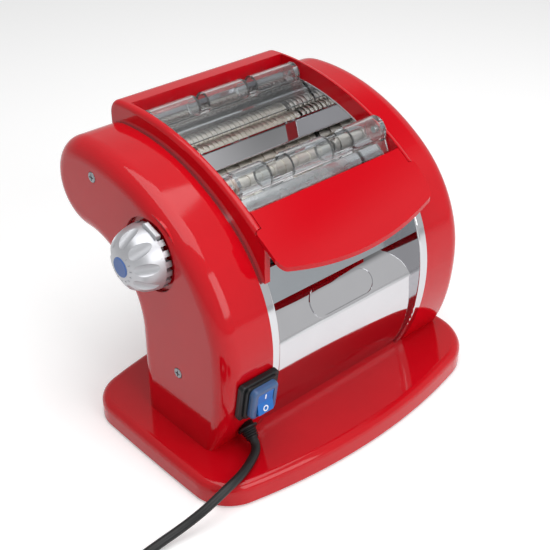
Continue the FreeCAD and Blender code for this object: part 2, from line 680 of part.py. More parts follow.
def hood_nodes():
    save("hood_frame", hood_frame())
    save("visor", visor())
    hinges = ((VISOR_HINGE, 2.0), (FRONT_GUARD, GUARD_PIN_R), (REAR_GUARD, GUARD_PIN_R))
    save("hinge_pins", group([rod(s * 71.6, s * 80.4, r, axis) for axis, r in hinges for s in (-1, 1)]))
    front = ((-75.5, -44, True), (-44, -22, False), (-22, 18, True), (18, 40, False), (40, 75.5, True))
    rear = ((-75.5, -30, True), (-30, -20, False), (-20, 20, True), (20, 30, False), (30, 75.5, True))
    save("front_guard", guard(FRONT_GUARD, FRONT_GUARD_R, front, (-21.0, 196.5), 205))
    save("rear_guard", guard(REAR_GUARD, REAR_GUARD_R, rear, (64.0, 213.0), 205))


def turned(profile):
    """Solid of revolution about the X axis of a closed (x, radius) polygon."""
    wire = Part.makePolygon([vec(x, r, 0) for x, r in list(profile) + [profile[0]]])
    return Part.Face(wire).revolve(vec(0, 0, 0), X_AXIS, 360)


def moved(shape, axis):
    shape.translate(vec(0, axis[0], axis[1]))
    return shape


def smooth_roller(axis, left, right):
    half, r, j = ROLLER_HALF, SMOOTH_R, JOURNAL_R
    outline = [(left, 0), (left, j), (-half, j), (-half, r - 0.8), (-half + 0.8, r),
               (half - 0.8, r), (half, r - 0.8), (half, j), (right, j), (right, 0)]
    return moved(turned(outline), axis)


def cutter_roller(axis, pitch, disc, first, right):
    """Core with evenly spaced square-edged cutting discs."""
    half, j = ROLLER_HALF, CUTTER_JOURNAL_R
    outline = [(-83.5, 0), (-83.5, j), (-half, j), (-half, CORE_R)]
    x = first
    while x + disc / 2 <= half:
        outline += [(x - disc / 2, CORE_R), (x - disc / 2, CUTTER_R)]
        outline += [(x + disc / 2, CUTTER_R), (x + disc / 2, CORE_R)]
        x += pitch
    outline += [(half, CORE_R), (half, j), (right, j), (right, 0)]
    return moved(turned(outline), axis)


def roller_nodes():
    save("adjustable_roller", smooth_roller(S1, -89.0, 96.5))
    save("fixed_roller", smooth_roller(S2, -83.5, 96.5))
    wide = WIDE_PITCH / 2 - 0.3
    fine = FINE_PITCH / 2 - 0.3
    save("wide_cutter_front", cutter_roller(W1, WIDE_PITCH, wide, -65.0, 90.0))
    save("wide_cutter_rear", cutter_roller(W2, WIDE_PITCH, wide, -71.5, 103.5))
    save("fine_cutter_front", cutter_roller(F1, FINE_PITCH, fine, -71.5, 90.0))
    save("fine_cutter_rear", cutter_roller(F2, FINE_PITCH, fine, -73.95, 103.5))


def bored(shape, axis, radius):
    return shape.cut(rod(70, 120, radius, axis))


def windows(axis, count, ring_r, hole_r, plane):
    step = 360.0 / count
    places = [at_angle(axis, ring_r, k * step) for k in range(count)]
    return group([rod(plane[0] - 1, plane[1] + 1, hole_r, place) for place in places])


def gear_nodes():
    fixed = heading(S2, S1)
    save("fixed_roller_gear",
         bored(gear(S2, SMOOTH_TEETH, SMOOTH_MODULE, PLANE_B, fixed, 1.0, 0.5), S2, JOURNAL_R))
    moving = meshing(fixed, SMOOTH_TEETH, fixed, SMOOTH_TEETH)
    save("adjustable_roller_gear",
         bored(gear(S1, SMOOTH_TEETH, SMOOTH_MODULE, PLANE_B, moving, 1.0, 0.5), S1, JOURNAL_R))
    small = meshing(fixed, SMOOTH_TEETH, heading(S2, BULL), BULL_SMALL_TEETH)
    down = heading(BULL, PINION)
    bull = gear(BULL, BULL_LARGE_TEETH, FINE_MODULE, PLANE_C, down)
    bull = bull.cut(windows(BULL, 6, 26, 8.0, PLANE_C))
    bull = bull.fuse(gear(BULL, BULL_SMALL_TEETH, SMOOTH_MODULE, PLANE_B, small))
    bull = bull.fuse(rod(PLANE_B[1], PLANE_C[0], 12.0, BULL))
    save("bull_gear", bored(bull, BULL, AXLE_R + RUN_FIT))
    pinion = meshing(down, BULL_LARGE_TEETH, down, PINION_TEETH)
    body = gear(PINION, PINION_TEETH, FINE_MODULE, PLANE_C, pinion, 0.1, 0.16)
    save("motor_pinion", bored(body, PINION, 3.0))
    idler_j = meshing(down, BULL_LARGE_TEETH, heading(BULL, J_AXIS), IDLER_J_TEETH)
    body = gear(J_AXIS, IDLER_J_TEETH, FINE_MODULE, PLANE_C, idler_j)
    body = body.cut(windows(J_AXIS, 5, 14, 5.0, PLANE_C))
    save("idler_gear_low", bored(body, J_AXIS, AXLE_R + RUN_FIT))
    wide_c = meshing(idler_j, IDLER_J_TEETH, heading(J_AXIS, W2), CUTTER_TEETH)
    wide_a = heading(W2, W1)
    body = gear(W2, CUTTER_TEETH, FINE_MODULE, PLANE_C, wide_c, 0.0, 0.16)
    body = body.fuse(gear(W2, CUTTER_TEETH, FINE_MODULE, PLANE_A, wide_a, 0.0, 0.16))
    body = body.fuse(rod(PLANE_A[1], PLANE_C[0], 6.5, W2))
    save("wide_rear_gear", bored(body, W2, CUTTER_JOURNAL_R))
    mate = meshing(wide_a, CUTTER_TEETH, wide_a, CUTTER_TEETH)
    body = gear(W1, CUTTER_TEETH, FINE_MODULE, PLANE_A, mate, 0.0, 0.16)
    save("wide_front_gear", bored(body, W1, CUTTER_JOURNAL_R))
    idler_k = meshing(wide_c, CUTTER_TEETH, heading(W2, K_AXIS), IDLER_K_TEETH)
    save("idler_gear_high",
         bored(gear(K_AXIS, IDLER_K_TEETH, FINE_MODULE, PLANE_C, idler_k), K_AXIS, AXLE_R + RUN_FIT))
    fine_c = meshing(idler_k, IDLER_K_TEETH, heading(K_AXIS, F2), CUTTER_TEETH)
    fine_a = heading(F2, F1)
    body = gear(F2, CUTTER_TEETH, FINE_MODULE, PLANE_C, fine_c, 0.0, 0.16)
    body = body.fuse(gear(F2, CUTTER_TEETH, FINE_MODULE, PLANE_A, fine_a, 0.0, 0.16))
    body = body.fuse(rod(PLANE_A[1], PLANE_C[0], 6.5, F2))
    save("fine_rear_gear", bored(body, F2, CUTTER_JOURNAL_R))
    mate = meshing(fine_a, CUTTER_TEETH, fine_a, CUTTER_TEETH)
    body = gear(F1, CUTTER_TEETH, FINE_MODULE, PLANE_A, mate, 0.0, 0.16)
    save("fine_front_gear", bored(body, F1, CUTTER_JOURNAL_R))
    print("axes", S2, J_AXIS, K_AXIS, PINION)


def cam_points():
    """Spiral cam that feeds the carrier evenly with the turn of the shaft."""
    start = math.atan2(CLOSE_DIR[1], CLOSE_DIR[0])
    rate = GAP_TRAVEL / math.radians(CAM_RANGE_DEG)
    points = []
    for step in range(72):
        back = math.radians(5.0 * step - 10.0)
        lift = rate * back
        if step > 34:
            full = rate * math.radians(160.0)
            lift = full - (full + rate * math.radians(10.0)) * (step - 34) / 38.0
        radius = CAM_R0 + lift
        points.append((S1[0] + radius * math.cos(start - back), S1[1] + radius * math.sin(start - back)))
    return points


def regulator_nodes():
    shaft = join([knob_axis_rod(-91.5, -146.4, 5.0), knob_axis_rod(-104.0, -111.0, 7.4)])
    shaft = shaft.cut(box(-147, -127, S1[0] - 9, S1[0] + 9, S1[1] + 4.0, S1[1] + 9))
    washer = knob_axis_rod(-146.4, -147.6, 7.2).fuse(knob_axis_rod(-147.6, -149.4, 4.0))
    save("regulator_shaft", join([shaft, washer]))
    cam = polygon_yz(cam_points(), -98.5, -91.5).cut(knob_axis_rod(-99, -91, 5.0))
    save("regulator_cam", cam)
    dial = knob_axis_rod(-125.5, -126.7, 28.6).fuse(knob_axis_rod(-112.0, -126.7, 8.0))
    dial = dial.cut(knob_axis_rod(-100, -140, 5.0 + RUN_FIT))
    pin = rod(-126.7, -128.6, 1.3, (S1[0], S1[1] + 22.0))
    save("index_ring", join([dial, pin]))
    left = slot_prism(-16.8, 12.6, -14, 14, -100.5, -80.5)
    left = left.cut(slot_prism(-12.7, CAM_R0 + 0.2, -10.8, 10.8, -101.5, -90.3))
    save("left_carrier", left.cut(knob_axis_rod(-95, -75, JOURNAL_R + RUN_FIT)))
    right = slot_prism(-12, 12, -14, 14, 80.5, 90.0)
    save("right_carrier", right.cut(knob_axis_rod(75, 95, JOURNAL_R + RUN_FIT)))


def knob_blank():
    """Barrel with a domed front, turned about the knob axis."""
    back, skirt = vec(KNOB_BACK, 0, KNOB_SKIRT_R), vec(KNOB_SKIRT_X, 0, KNOB_SKIRT_R - 0.2)
    dome = Part.BSplineCurve()
    dome.interpolate([skirt] + [vec(x, 0, r) for x, r in KNOB_DOME])
    tip = vec(KNOB_DOME[-1][0], 0, KNOB_DOME[-1][1])
    corners = [tip, vec(tip.x, 0, 0), vec(KNOB_BACK, 0, 0), back, skirt]
    edges = [dome.toShape()] + [Part.makeLine(a, b) for a, b in zip(corners, corners[1:])]
    return Part.Face(Part.Wire(edges)).revolve(vec(0, 0, 0), X_AXIS, 360)


def knob():
    """Domed grip with scooped flutes, a crenellated skirt and a thumb tab."""
    body = moved(knob_blank(), S1)
    cuts = []
    for k in range(KNOB_NOTCHES):
        notch = box(KNOB_BACK - 4.6, KNOB_BACK + 1, -1.7, 1.7, KNOB_SKIRT_R - 5.0, KNOB_SKIRT_R + 2)
        notch.rotate(vec(0, 0, 0), X_AXIS, 360.0 / KNOB_NOTCHES * k)
        cuts.append(moved(notch, S1))
    for k in range(KNOB_SCOOPS):
        start = vec(KNOB_SCOOP_X + 10, 0, KNOB_SKIRT_R - 0.8 + KNOB_SCOOP_R + 10 * KNOB_SCOOP_SLOPE)
        scoop = Part.makeCylinder(KNOB_SCOOP_R, 50, start, vec(-1, 0, -KNOB_SCOOP_SLOPE))
        scoop.rotate(vec(0, 0, 0), X_AXIS, 360.0 / KNOB_SCOOPS * k)
        cuts.append(moved(scoop, S1))
    body = body.cut(group(cuts))
    tab = box(KNOB_BACK - 6.2, KNOB_BACK - 1.6, -7.6, 7.6, 20.0, KNOB_TAB_R)
    tab = tab.makeFillet(1.4, [e for e in tab.Edges if e.CenterOfMass.z > KNOB_TAB_R - 0.1])
    tab.rotate(vec(0, 0, 0), X_AXIS, KNOB_TAB_DEG)
    body = body.fuse(moved(tab, S1))
    bore = knob_axis_rod(-128, -139.0, 5.0 + RUN_FIT)
    bore = bore.cut(box(-141, -127, S1[0] - 9, S1[0] + 9, S1[1] + 4.0 + RUN_FIT, S1[1] + 9))
    body = body.cut(bore).cut(knob_axis_rod(-138.0, -151.5, 8.4))
    body = body.cut(knob_axis_rod(-153.0, -157.0, KNOB_CAP_R))
    return body.removeSplitter()


def knob_nodes():
    save("knob", knob())
    cap = knob_axis_rod(-153.0, -156.0, KNOB_CAP_R)
    save("knob_cap", cap.makeFillet(0.9, face_edges(cap, -156.0)))
    helix = Part.BSplineCurve()
    turns = [SPRING_TURNS * k / 96.0 for k in range(97)]
    helix.interpolate([vec(*at_angle((0, 0), SPRING_R, 360 * t), SPRING_PITCH * t) for t in turns])
    ring = Part.Wire(Part.makeCircle(0.45, vec(SPRING_R, 0, 0), vec(0, 1, 0.045)))
    spring = Part.Wire(helix.toShape()).makePipeShell([ring], True, True)
    spring.rotate(vec(0, 0, 0), vec(0, 1, 0), -90)
    spring.translate(vec(-138.5, S1[0], S1[1]))
    save("knob_spring", spring)


def motor_nodes():
    body = rod(-46, 44, 27, PINION)
    body = body.makeFillet(3.0, face_edges(body, -46.0))
    for x in (-30, 28):
        body = body.fuse(rod(x, x + 3, 27.6, PINION))
    body = body.fuse(rod(-52, -46, 10, PINION))
    save("motor_body", body.removeSplitter())
    case = join([rod(44, 72, 28, PINION), rod(72, PLATE_IN, 29.5, PINION)])
    save("motor_gearbox", case.cut(rod(60, 80, 3.0 + RUN_FIT, PINION)))
    save("motor_shaft", rod(60.5, 103.5, 3.0, PINION))
    saddle = box(-20, 12, PINION[0] - 15, PINION[0] + 15, DECK, PINION[1] - 16)
    save("motor_saddle", saddle.cut(rod(-60, 50, 27.0, PINION)))


def route_edges(points):
    """Straight runs with a tangent arc at each point; prints the arc radii."""
    points = [vec(*p) for p in points]
    edges = []
    start = points[0]
    radii = []
    for a, b, c in zip(points, points[1:], points[2:]):
        u, w = (b - a), (c - b)
        reach = 0.45 * min(u.Length, w.Length)
        u.normalize()
        w.normalize()
        half = math.acos(max(-1.0, min(1.0, u.dot(w)))) / 2
        radius = reach / math.tan(half)
        radii.append(round(radius, 1))
        p, q = b - u * reach, b + w * reach
        inward = w - u
        inward.normalize()
        middle = b + inward * (radius / math.cos(half) - radius)
        edges.append(Part.makeLine(start, p))
        edges.append(Part.Arc(p, middle, q).toShape())
        start = q
    edges.append(Part.makeLine(start, points[-1]))
    print("bend radii", radii)
    return edges


def tube(edges, radius):
    wire = Part.Wire(edges)
    first = edges[0]
    start = first.valueAt(first.FirstParameter)
    along = first.tangentAt(first.FirstParameter)
    ring = Part.Wire(Part.makeCircle(radius, start, along))
    return wire.makePipeShell([ring], True, False)


def arc_through(p, corner, q):
    """Arc from p to q whose end tangents meet in corner."""
    chord = (p + q) * 0.5
    c = (p - chord).Length
    h = (corner - chord).Length
    radius = c * (corner - p).Length / h
    rise = radius - math.sqrt(radius * radius - c * c)
    return Part.Arc(p, chord + (corner - chord) * (rise / h), q).toShape()


def biarc(p, t, q, s):
    """Two tangent arcs from p along t to q along s."""
    v = q - p
    total = t + s
    k = 2 * (1 - t.dot(s))
    b = v.dot(total)
    reach = (math.sqrt(b * b + k * v.dot(v)) - b) / k
    m, n = p + t * reach, q - s * reach
    middle = (m + n) * 0.5
    return [arc_through(p, m, middle), arc_through(middle, n, q)]


def coil_edges():
    """Loops that spiral in on the floor, climb in one half turn and spiral out on top."""
    halves = 2 * COIL_LAYER_TURNS
    x, y, z = COIL_CENTRE[0], COIL_CENTRE[1] + COIL_OUTER_R, COIL_Z
    edges = []
    for k in range(2 * halves + 1):
        radius = COIL_OUTER_R - COIL_PITCH / 2 * (k if k <= halves else 2 * halves - k)
        left = k % 2 == 0
        down = 1 if left else -1
        mid_y, end_y = y - down * radius, y - down * 2 * radius
        side_x = x - down * radius
        if k == halves:
            lean = FreeCAD.Vector(0, -1, 0.19)
            lean.normalize()
            top, low = vec(x, y, z), vec(x, end_y, z + COIL_PITCH)
            half_way = vec(side_x, mid_y, z + COIL_PITCH / 2)
            edges += biarc(top, vec(-1, 0, 0), half_way, lean)
            edges += biarc(half_way, lean, low, vec(1, 0, 0))
            z += COIL_PITCH
        else:
            edges.append(Part.Arc(vec(x, y, z), vec(side_x, mid_y, z), vec(x, end_y, z)).toShape())
        y = end_y
    return edges, vec(x, y, z)


def least_gap(edges, step, skip):
    """Smallest distance between far parts of a path, less one cord diameter."""
    points = []
    for edge in edges:
        count = max(2, int(edge.Length / step))
        points += edge.discretize(count)[:-1]
    gap = 1e9
    for i in range(len(points)):
        for k in range(i + skip, len(points)):
            gap = min(gap, (points[i] - points[k]).Length)
    return gap - 2 * CORD_R


def cord_nodes():
    def along(d):
        return GLAND_AT + GLAND_DIR * d

    relief = join([Part.makeCylinder(6.0, 11.2, along(-9), GLAND_DIR),
                   Part.makeCylinder(8.0, 2.0, along(2.2), GLAND_DIR),
                   Part.makeCone(5.8, 4.3, 8.3, along(4.2), GLAND_DIR)])
    save("strain_relief", relief)
    tip = along(12.5)
    coil, end = coil_edges()
    first = vec(COIL_CENTRE[0], COIL_CENTRE[1] + COIL_OUTER_R, COIL_Z)
    bend = tip + GLAND_DIR * 7.0
    route = [tuple(tip), tuple(bend), (-117.0, -74.5, 24.3), (-131.5, -80.5, 24.4), (-148.0, -83.5, 23.6),
             (-166.0, -83.5, 17.0), (-185.0, -80.5, 9.5), (-206.0, -78.5, 5.6), (-227.0, -79.5, 4.7),
             (-247.5, first.y, first.z), tuple(first)]
    lead_edges = route_edges(route)
    lead = tube(lead_edges, CORD_R)
    length = sum(e.Length for e in lead_edges)
    print("lead volume ratio", round(lead.Volume / (math.pi * CORD_R ** 2 * length), 4))
    save("cord_lead", lead)
    stub = end + vec(PLUG_TAIL, 0, 0)
    coil.append(Part.makeLine(end, stub))
    wound = tube(coil, CORD_R)
    coil_length = sum(e.Length for e in coil)
    print("coil volume ratio", round(wound.Volume / (math.pi * CORD_R ** 2 * coil_length), 4))
    print("cord length", round(length + coil_length, 1), "coil gap", round(least_gap(coil, 3.0, 14), 3))
    save("cord_coil", wound)
    inner_x = COIL_CENTRE[0] + COIL_OUTER_R - COIL_PITCH * 2.5 - CORD_R - 1.0
    outer_x = COIL_CENTRE[0] + COIL_OUTER_R - COIL_PITCH * 0.5 + CORD_R + 0.05
    low, high = COIL_Z - CORD_R - 0.05, COIL_Z + COIL_PITCH + CORD_R + 0.05
    y = COIL_CENTRE[1]
    band = box(inner_x - 1.1, outer_x + 1.1, y - 3, y + 3, low - 1.1, high + 1.1)
    save("cord_tie", band.cut(box(inner_x, outer_x, y - 5, y + 5, low, high)))
    neck = Part.makeCone(4.4, 7.0, 16, stub, X_AXIS)
    body = box(stub.x + 16, stub.x + 50, stub.y - 15, stub.y + 15, 0.3, 2 * stub.z - 0.3)
    body = body.makeFillet(7.0, [e for e in body.Edges if abs(e.Length - 34) < 1e-6])
    body = body.makeFillet(2.0, face_edges(body, stub.x + 16) + face_edges(body, stub.x + 50))
    save("plug_body", join([neck, body]))
    pins = []
    for s in (-1, 1):
        pin = Part.makeCylinder(2.4, 19, vec(stub.x + 50, stub.y + s * 9.5, stub.z), X_AXIS)
        pins.append(pin.makeFillet(1.5, face_edges(pin, stub.x + 69)))
    save("plug_pins", group(pins))


def main():
    base_nodes()
    housing_nodes()
    switch_nodes()
    frame_nodes()
    cover_nodes()
    hood_nodes()
    roller_nodes()
    gear_nodes()
    regulator_nodes()
    knob_nodes()
    motor_nodes()
    cord_nodes()


main()
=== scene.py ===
"""Motor driven pasta roller: finishes, fine pieces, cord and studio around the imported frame."""
import math

import bpy
import numpy as np
from mathutils import Matrix, Vector


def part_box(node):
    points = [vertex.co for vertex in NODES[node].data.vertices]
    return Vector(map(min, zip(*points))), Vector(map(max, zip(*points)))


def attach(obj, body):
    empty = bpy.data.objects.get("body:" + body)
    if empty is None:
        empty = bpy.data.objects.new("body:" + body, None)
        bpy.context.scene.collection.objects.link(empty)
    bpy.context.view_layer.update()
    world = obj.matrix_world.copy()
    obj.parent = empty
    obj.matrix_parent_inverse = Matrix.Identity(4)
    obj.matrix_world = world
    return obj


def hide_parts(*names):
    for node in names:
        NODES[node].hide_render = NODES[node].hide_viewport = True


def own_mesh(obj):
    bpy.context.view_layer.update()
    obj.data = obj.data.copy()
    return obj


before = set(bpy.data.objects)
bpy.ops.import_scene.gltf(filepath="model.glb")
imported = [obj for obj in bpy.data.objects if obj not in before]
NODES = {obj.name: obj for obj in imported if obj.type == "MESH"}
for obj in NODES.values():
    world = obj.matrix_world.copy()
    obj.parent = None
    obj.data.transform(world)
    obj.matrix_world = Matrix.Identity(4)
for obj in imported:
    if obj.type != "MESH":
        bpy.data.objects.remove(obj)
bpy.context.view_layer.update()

bl_info = {
    "name": "Pasta Roller",
    "version": (1, 0, 0),
    "blender": (4, 5, 0),
    "location": "View3D > Sidebar > Pasta Roller",
    "description": "Finishes, fine pieces and studio for a motor driven pasta roller",
    "category": "Object",
}

MM = 0.001

# Middle of the machine's outline on the floor, in the millimetres that the sizes below are given in
ORIGIN = (-8.0, 19.516, 0.0)

# Knob: axis in the YZ plane, the dome's shoulder and the ring of figures on it
KNOB_AXIS = (18.0, 167.5)
FIGURE_RING_R = 11.2
FIGURE_RING_X = -154.5
FIGURE_TILT = 20.0
FIGURE_FIRST = 38.0
FIGURE_STEP = 24.0
FIGURE_COUNT = 9
FIGURE_HEIGHT = 2.5

# Spring inside the knob: wire and turns
SPRING_WIRE = 0.9
SPRING_TURNS = 4

# Rocker switch: its middle on the front band, the lean of its face and the two marks on the key
SWITCH_AT = (-101.0, -61.42, 74.0)
SWITCH_LEAN = 9.15
KEY_RIDGE = 11.6
KEY_UPPER_SLOPE = 0.5
KEY_LOWER_SLOPE = 16.5
MARK_HALF = 2.4
MARK_LIFT = 0.06
MARK_SINK = 0.2
BAR_HALF_WIDTH = 0.6
BAR_UP = 5.0
BAR_BORE = 0.02
RING_UP = -5.6
RING_BORE = 0.62

# Cord: where it leaves the machine, its loose lead and the coil put away beside the machine
GLAND_AT = (-101.0, -50.45, 36.0)
GLAND_DIR = (-0.1002, -0.8216, -0.5611)
GLAND_TIP = 12.5
GLAND_R = 6.0
GLAND_RIBS = 4
GLAND_SIDES = 48
LEAD_BEND = 7.0
LEAD = ((-117.0, -74.5, 24.3), (-131.5, -80.5, 24.4), (-148.0, -83.5, 23.6), (-166.0, -83.5, 17.0),
        (-185.0, -80.5, 9.5), (-206.0, -78.5, 5.6), (-227.0, -79.5, 4.7), (-247.5, -82.5, 4.7))
COIL_CENTRE = (-266.0, -130.0)
COIL_Z = 4.7
COIL_PITCH = 7.7
COIL_OUTER_R = 47.5
COIL_HALVES = 6
COIL_STEPS = 12
PLUG_TAIL = 31.0
PLUG_RIBS = 4
PLUG_RIB_STEP = 3.2
PLUG_HALF_HIGH = 12.0
PLUG_SIDES = 64
TIE_THICK = 1.1
TIE_SQUARE = 7.0

# Studio, in metres: half of the floor's side, then each lamp's side, place and the point it faces
FLOOR_REACH = 6.0
TOP_LAMP = (1.1, (-0.05, -0.1, 1.25), (0, 0, 0.15))
FRONT_LAMP = (0.9, (0.05, -1.35, 0.75), (0, 0, 0.12))

# Room seen in mirrors: the back wall's share of the front one, and the directions where the room changes
BACK_SHARE = 0.85
BACK_FROM, BACK_TO = -0.3, 0.3
DARK_FROM, DARK_TO = 0.54, 0.62
CEILING_FROM, CEILING_TO = 0.58, 0.74

# Camera: sensor in millimetres and the picture's width in pixels
SENSOR_MM = 36.0
PICTURE_PIXELS = 550.0

# Patterns of the finishes: clouds of handling by size; wiped, lathe and haze patches in repeats per metre
CLOUD_MM = 30.0
WIPED_SCALE = 45.0
PATCH_SCALE = 60.0
HAZE_SCALE = 70.0

# Refraction of plain and of clear plastic, and the share of light that the clear one lets through
PLASTIC_IOR = 1.38
CLEAR_IOR = 1.5
CLEAR_SHARE = 0.96

# Colour sockets of a Mix node, which shares their names with its other kinds
MIX_A, MIX_B, MIX_OUT = 6, 7, 2


def linear(hex_colour):
    """sRGB hex to linear red, green and blue.

    A part c is c / 12.92 up to 0.04045, and ((c + 0.055) / 1.055) ** 2.4 above it.
    """
    parts = [int(hex_colour[i:i + 2], 16) / 255 for i in (1, 3, 5)]
    return tuple(c / 12.92 if c <= 0.04045 else ((c + 0.055) / 1.055) ** 2.4 for c in parts)


def rgba(colour):
    return (*colour, 1.0)


def shade(colour, factor):
    return (*(c * factor for c in colour), 1.0)


def in_frame(points):
    """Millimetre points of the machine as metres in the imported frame."""
    return (np.asarray(points, float) - np.array(ORIGIN)) * MM


def colour_setting(name, text, hex_colour):
    return bpy.props.FloatVectorProperty(
        name=name, description=text, subtype="COLOR", size=3, min=0.0, max=1.0,
        default=linear(hex_colour))


def size_setting(name, text, millimetres):
    return bpy.props.FloatProperty(
        name=name, description=text, unit="LENGTH", subtype="DISTANCE", min=0.0,
        default=millimetres * MM)


class FinishSettings(bpy.types.PropertyGroup):
    """Colours of the machine's finishes."""

    shell: colour_setting("Shell", "Glossy covers, hood, visor and base", "#C80818")
    chrome: colour_setting("Chrome", "Polished plates and front panel", "#CECED1")
    sheet: colour_setting("Sheet", "Inner steel sheets", "#8C9094")
    roller: colour_setting("Roller", "Turned smooth rollers", "#E0E2E4")
    cutter: colour_setting("Cutter", "Ringed cutting rollers", "#E4DFD6")
    gear: colour_setting("Gear", "Gears, axles and screws", "#8F9498")
    bronze: colour_setting("Bronze", "Bushes and carriers", "#B08A4E")
    motor: colour_setting("Motor", "Motor and reducer cases", "#3A3D40")
    knob: colour_setting("Knob", "Silver knob", "#BFC0C4")
    cap: colour_setting("Cap", "Disc in the middle of the knob", "#5575B4")
    black: colour_setting("Black", "Switch frame, plug and saddle", "#141517")
    key: colour_setting("Key", "Rocker key", "#046CC2")
    boot: colour_setting("Boot", "Splash cover around the key", "#43618C")
    guard: colour_setting("Guard", "Clear finger guards", "#F4F7F8")
    rubber: colour_setting("Rubber", "Feet and strain relief", "#1B1B1C")
    cord: colour_setting("Cord", "Sheath of the mains cord", "#1C1C1D")
    pin: colour_setting("Pin", "Plug pins", "#C9C6BC")
    ink: colour_setting("Ink", "Printed marks on the key", "#F2F4F6")
    figure: colour_setting("Figure", "Raised figures on the knob", "#9A9CA1")


class CordSettings(bpy.types.PropertyGroup):
    """Real sizes of the mains cord."""

    diameter: size_setting("Diameter", "Sheath diameter", 7.0)
    length: size_setting("Length", "Whole length from the strain relief to the plug", 1712.0)


class StageSettings(bpy.types.PropertyGroup):
    """Camera, lamps and floor."""

    azimuth: bpy.props.FloatProperty(
        name="Azimuth", description="Turn of the camera about the machine", subtype="ANGLE",
        default=math.radians(-42.3))
    elevation: bpy.props.FloatProperty(
        name="Elevation", description="Height of the camera over the horizon", subtype="ANGLE",
        default=math.radians(32.55))
    eye: bpy.props.FloatVectorProperty(
        name="Eye", description="Place of the camera", unit="LENGTH", subtype="XYZ", size=3,
        default=tuple(in_frame((-494.3, -515.7, 558.8))))
    focal_pixels: bpy.props.FloatProperty(
        name="Focal length", description="Focal length in pixels of a picture 550 wide", default=1050.0)
    floor: colour_setting("Floor", "Plain pale floor", "#F4F4F4")
    top_power: bpy.props.FloatProperty(
        name="Top lamp", description="Power of the lamp overhead", unit="POWER", default=10.5)
    front_power: bpy.props.FloatProperty(
        name="Front lamp", description="Power of the lamp before the machine", unit="POWER", default=9.0)
    ambient: bpy.props.FloatProperty(
        name="Ambient", description="Strength of the world on matt surfaces", default=0.35)
    floor_lift: bpy.props.FloatProperty(
        name="Floor lift", description="Glow that brings the lit floor to white where it is seen",
        default=0.28)
    walls: bpy.props.FloatProperty(
        name="Walls", description="Strength of the room at the horizon in reflections", default=0.7)
    ceiling: bpy.props.FloatProperty(
        name="Ceiling", description="Strength of the dark upper room in reflections", default=0.1)


def add_node(tree, kind, values=None, links=None, **settings):
    """Add a node with its own settings, the constants on its sockets and the outputs that feed them."""
    node = tree.nodes.new(kind)
    for name, value in settings.items():
        setattr(node, name, value)
    for name, value in (values or {}).items():
        node.inputs[name].default_value = value
    for name, source in (links or {}).items():
        tree.links.new(source, node.inputs[name])
    return node


def blank_material(name):
    material = bpy.data.materials.new(name)
    material.use_nodes = True
    material.node_tree.nodes.clear()
    return material, material.node_tree


def surface(tree, colour, deepest, tint_by, gloss, gloss_by, span, relief_by, relief, **constants):
    """Close a material whose tint, gloss and relief follow three pattern outputs.

    The tint runs from colour to deepest times colour. The roughness runs over gloss as its pattern runs
    over span. relief holds the bump's strength and its depth in millimetres. constants go on the
    shader's sockets.
    """
    tint = add_node(
        tree, "ShaderNodeMix", {MIX_A: rgba(colour), MIX_B: shade(colour, deepest)},
        {"Factor": tint_by}, data_type="RGBA")
    rough = add_node(
        tree, "ShaderNodeMapRange",
        {"From Min": span[0], "From Max": span[1], "To Min": gloss[0], "To Max": gloss[1]},
        {"Value": gloss_by})
    strength, depth = relief
    bump = add_node(
        tree, "ShaderNodeBump", {"Strength": strength, "Distance": depth * MM}, {"Height": relief_by})
    skin = add_node(
        tree, "ShaderNodeBsdfPrincipled", constants,
        {"Base Color": tint.outputs[MIX_OUT], "Roughness": rough.outputs["Result"],
         "Normal": bump.outputs["Normal"]})
    add_node(tree, "ShaderNodeOutputMaterial", links={"Surface": skin.outputs["BSDF"]})


def moulded_plastic(name, colour, gloss, grain_mm, grain_depth_mm):
    """Injection moulded plastic: even colour, a faint skin grain and clouds of handling in the gloss.

    gloss holds the least and the greatest roughness. The grain is a noise of grain_mm.
    """
    material, tree = blank_material(name)
    place = add_node(tree, "ShaderNodeTexCoord").outputs["Object"]
    grain = add_node(
        tree, "ShaderNodeTexNoise", {"Scale": 1 / (grain_mm * MM), "Detail": 2.0}, {"Vector": place})
    clouds = add_node(
        tree, "ShaderNodeTexNoise", {"Scale": 1 / (CLOUD_MM * MM), "Detail": 4.0}, {"Vector": place})
    surface(tree, colour, 0.9, clouds.outputs["Fac"], gloss, clouds.outputs["Fac"], (0.3, 0.7),
            grain.outputs["Fac"], (0.6, grain_depth_mm), IOR=PLASTIC_IOR)
    return material


def polished_metal(name, colour, gloss, ripple_mm, ripple_depth_mm, metallic=1.0):
    """Polished or plated metal: mirror gloss with wiped patches and a slow ripple of the rolled sheet."""
    material, tree = blank_material(name)
    place = add_node(tree, "ShaderNodeTexCoord").outputs["Object"]
    ripple = add_node(
        tree, "ShaderNodeTexNoise", {"Scale": 1 / (ripple_mm * MM), "Detail": 1.0}, {"Vector": place})
    wiped = add_node(
        tree, "ShaderNodeTexNoise", {"Scale": WIPED_SCALE, "Detail": 5.0}, {"Vector": place})
    surface(tree, colour, 0.93, wiped.outputs["Fac"], gloss, wiped.outputs["Fac"], (0.35, 0.75),
            ripple.outputs["Fac"], (0.5, ripple_depth_mm), Metallic=metallic)
    return material


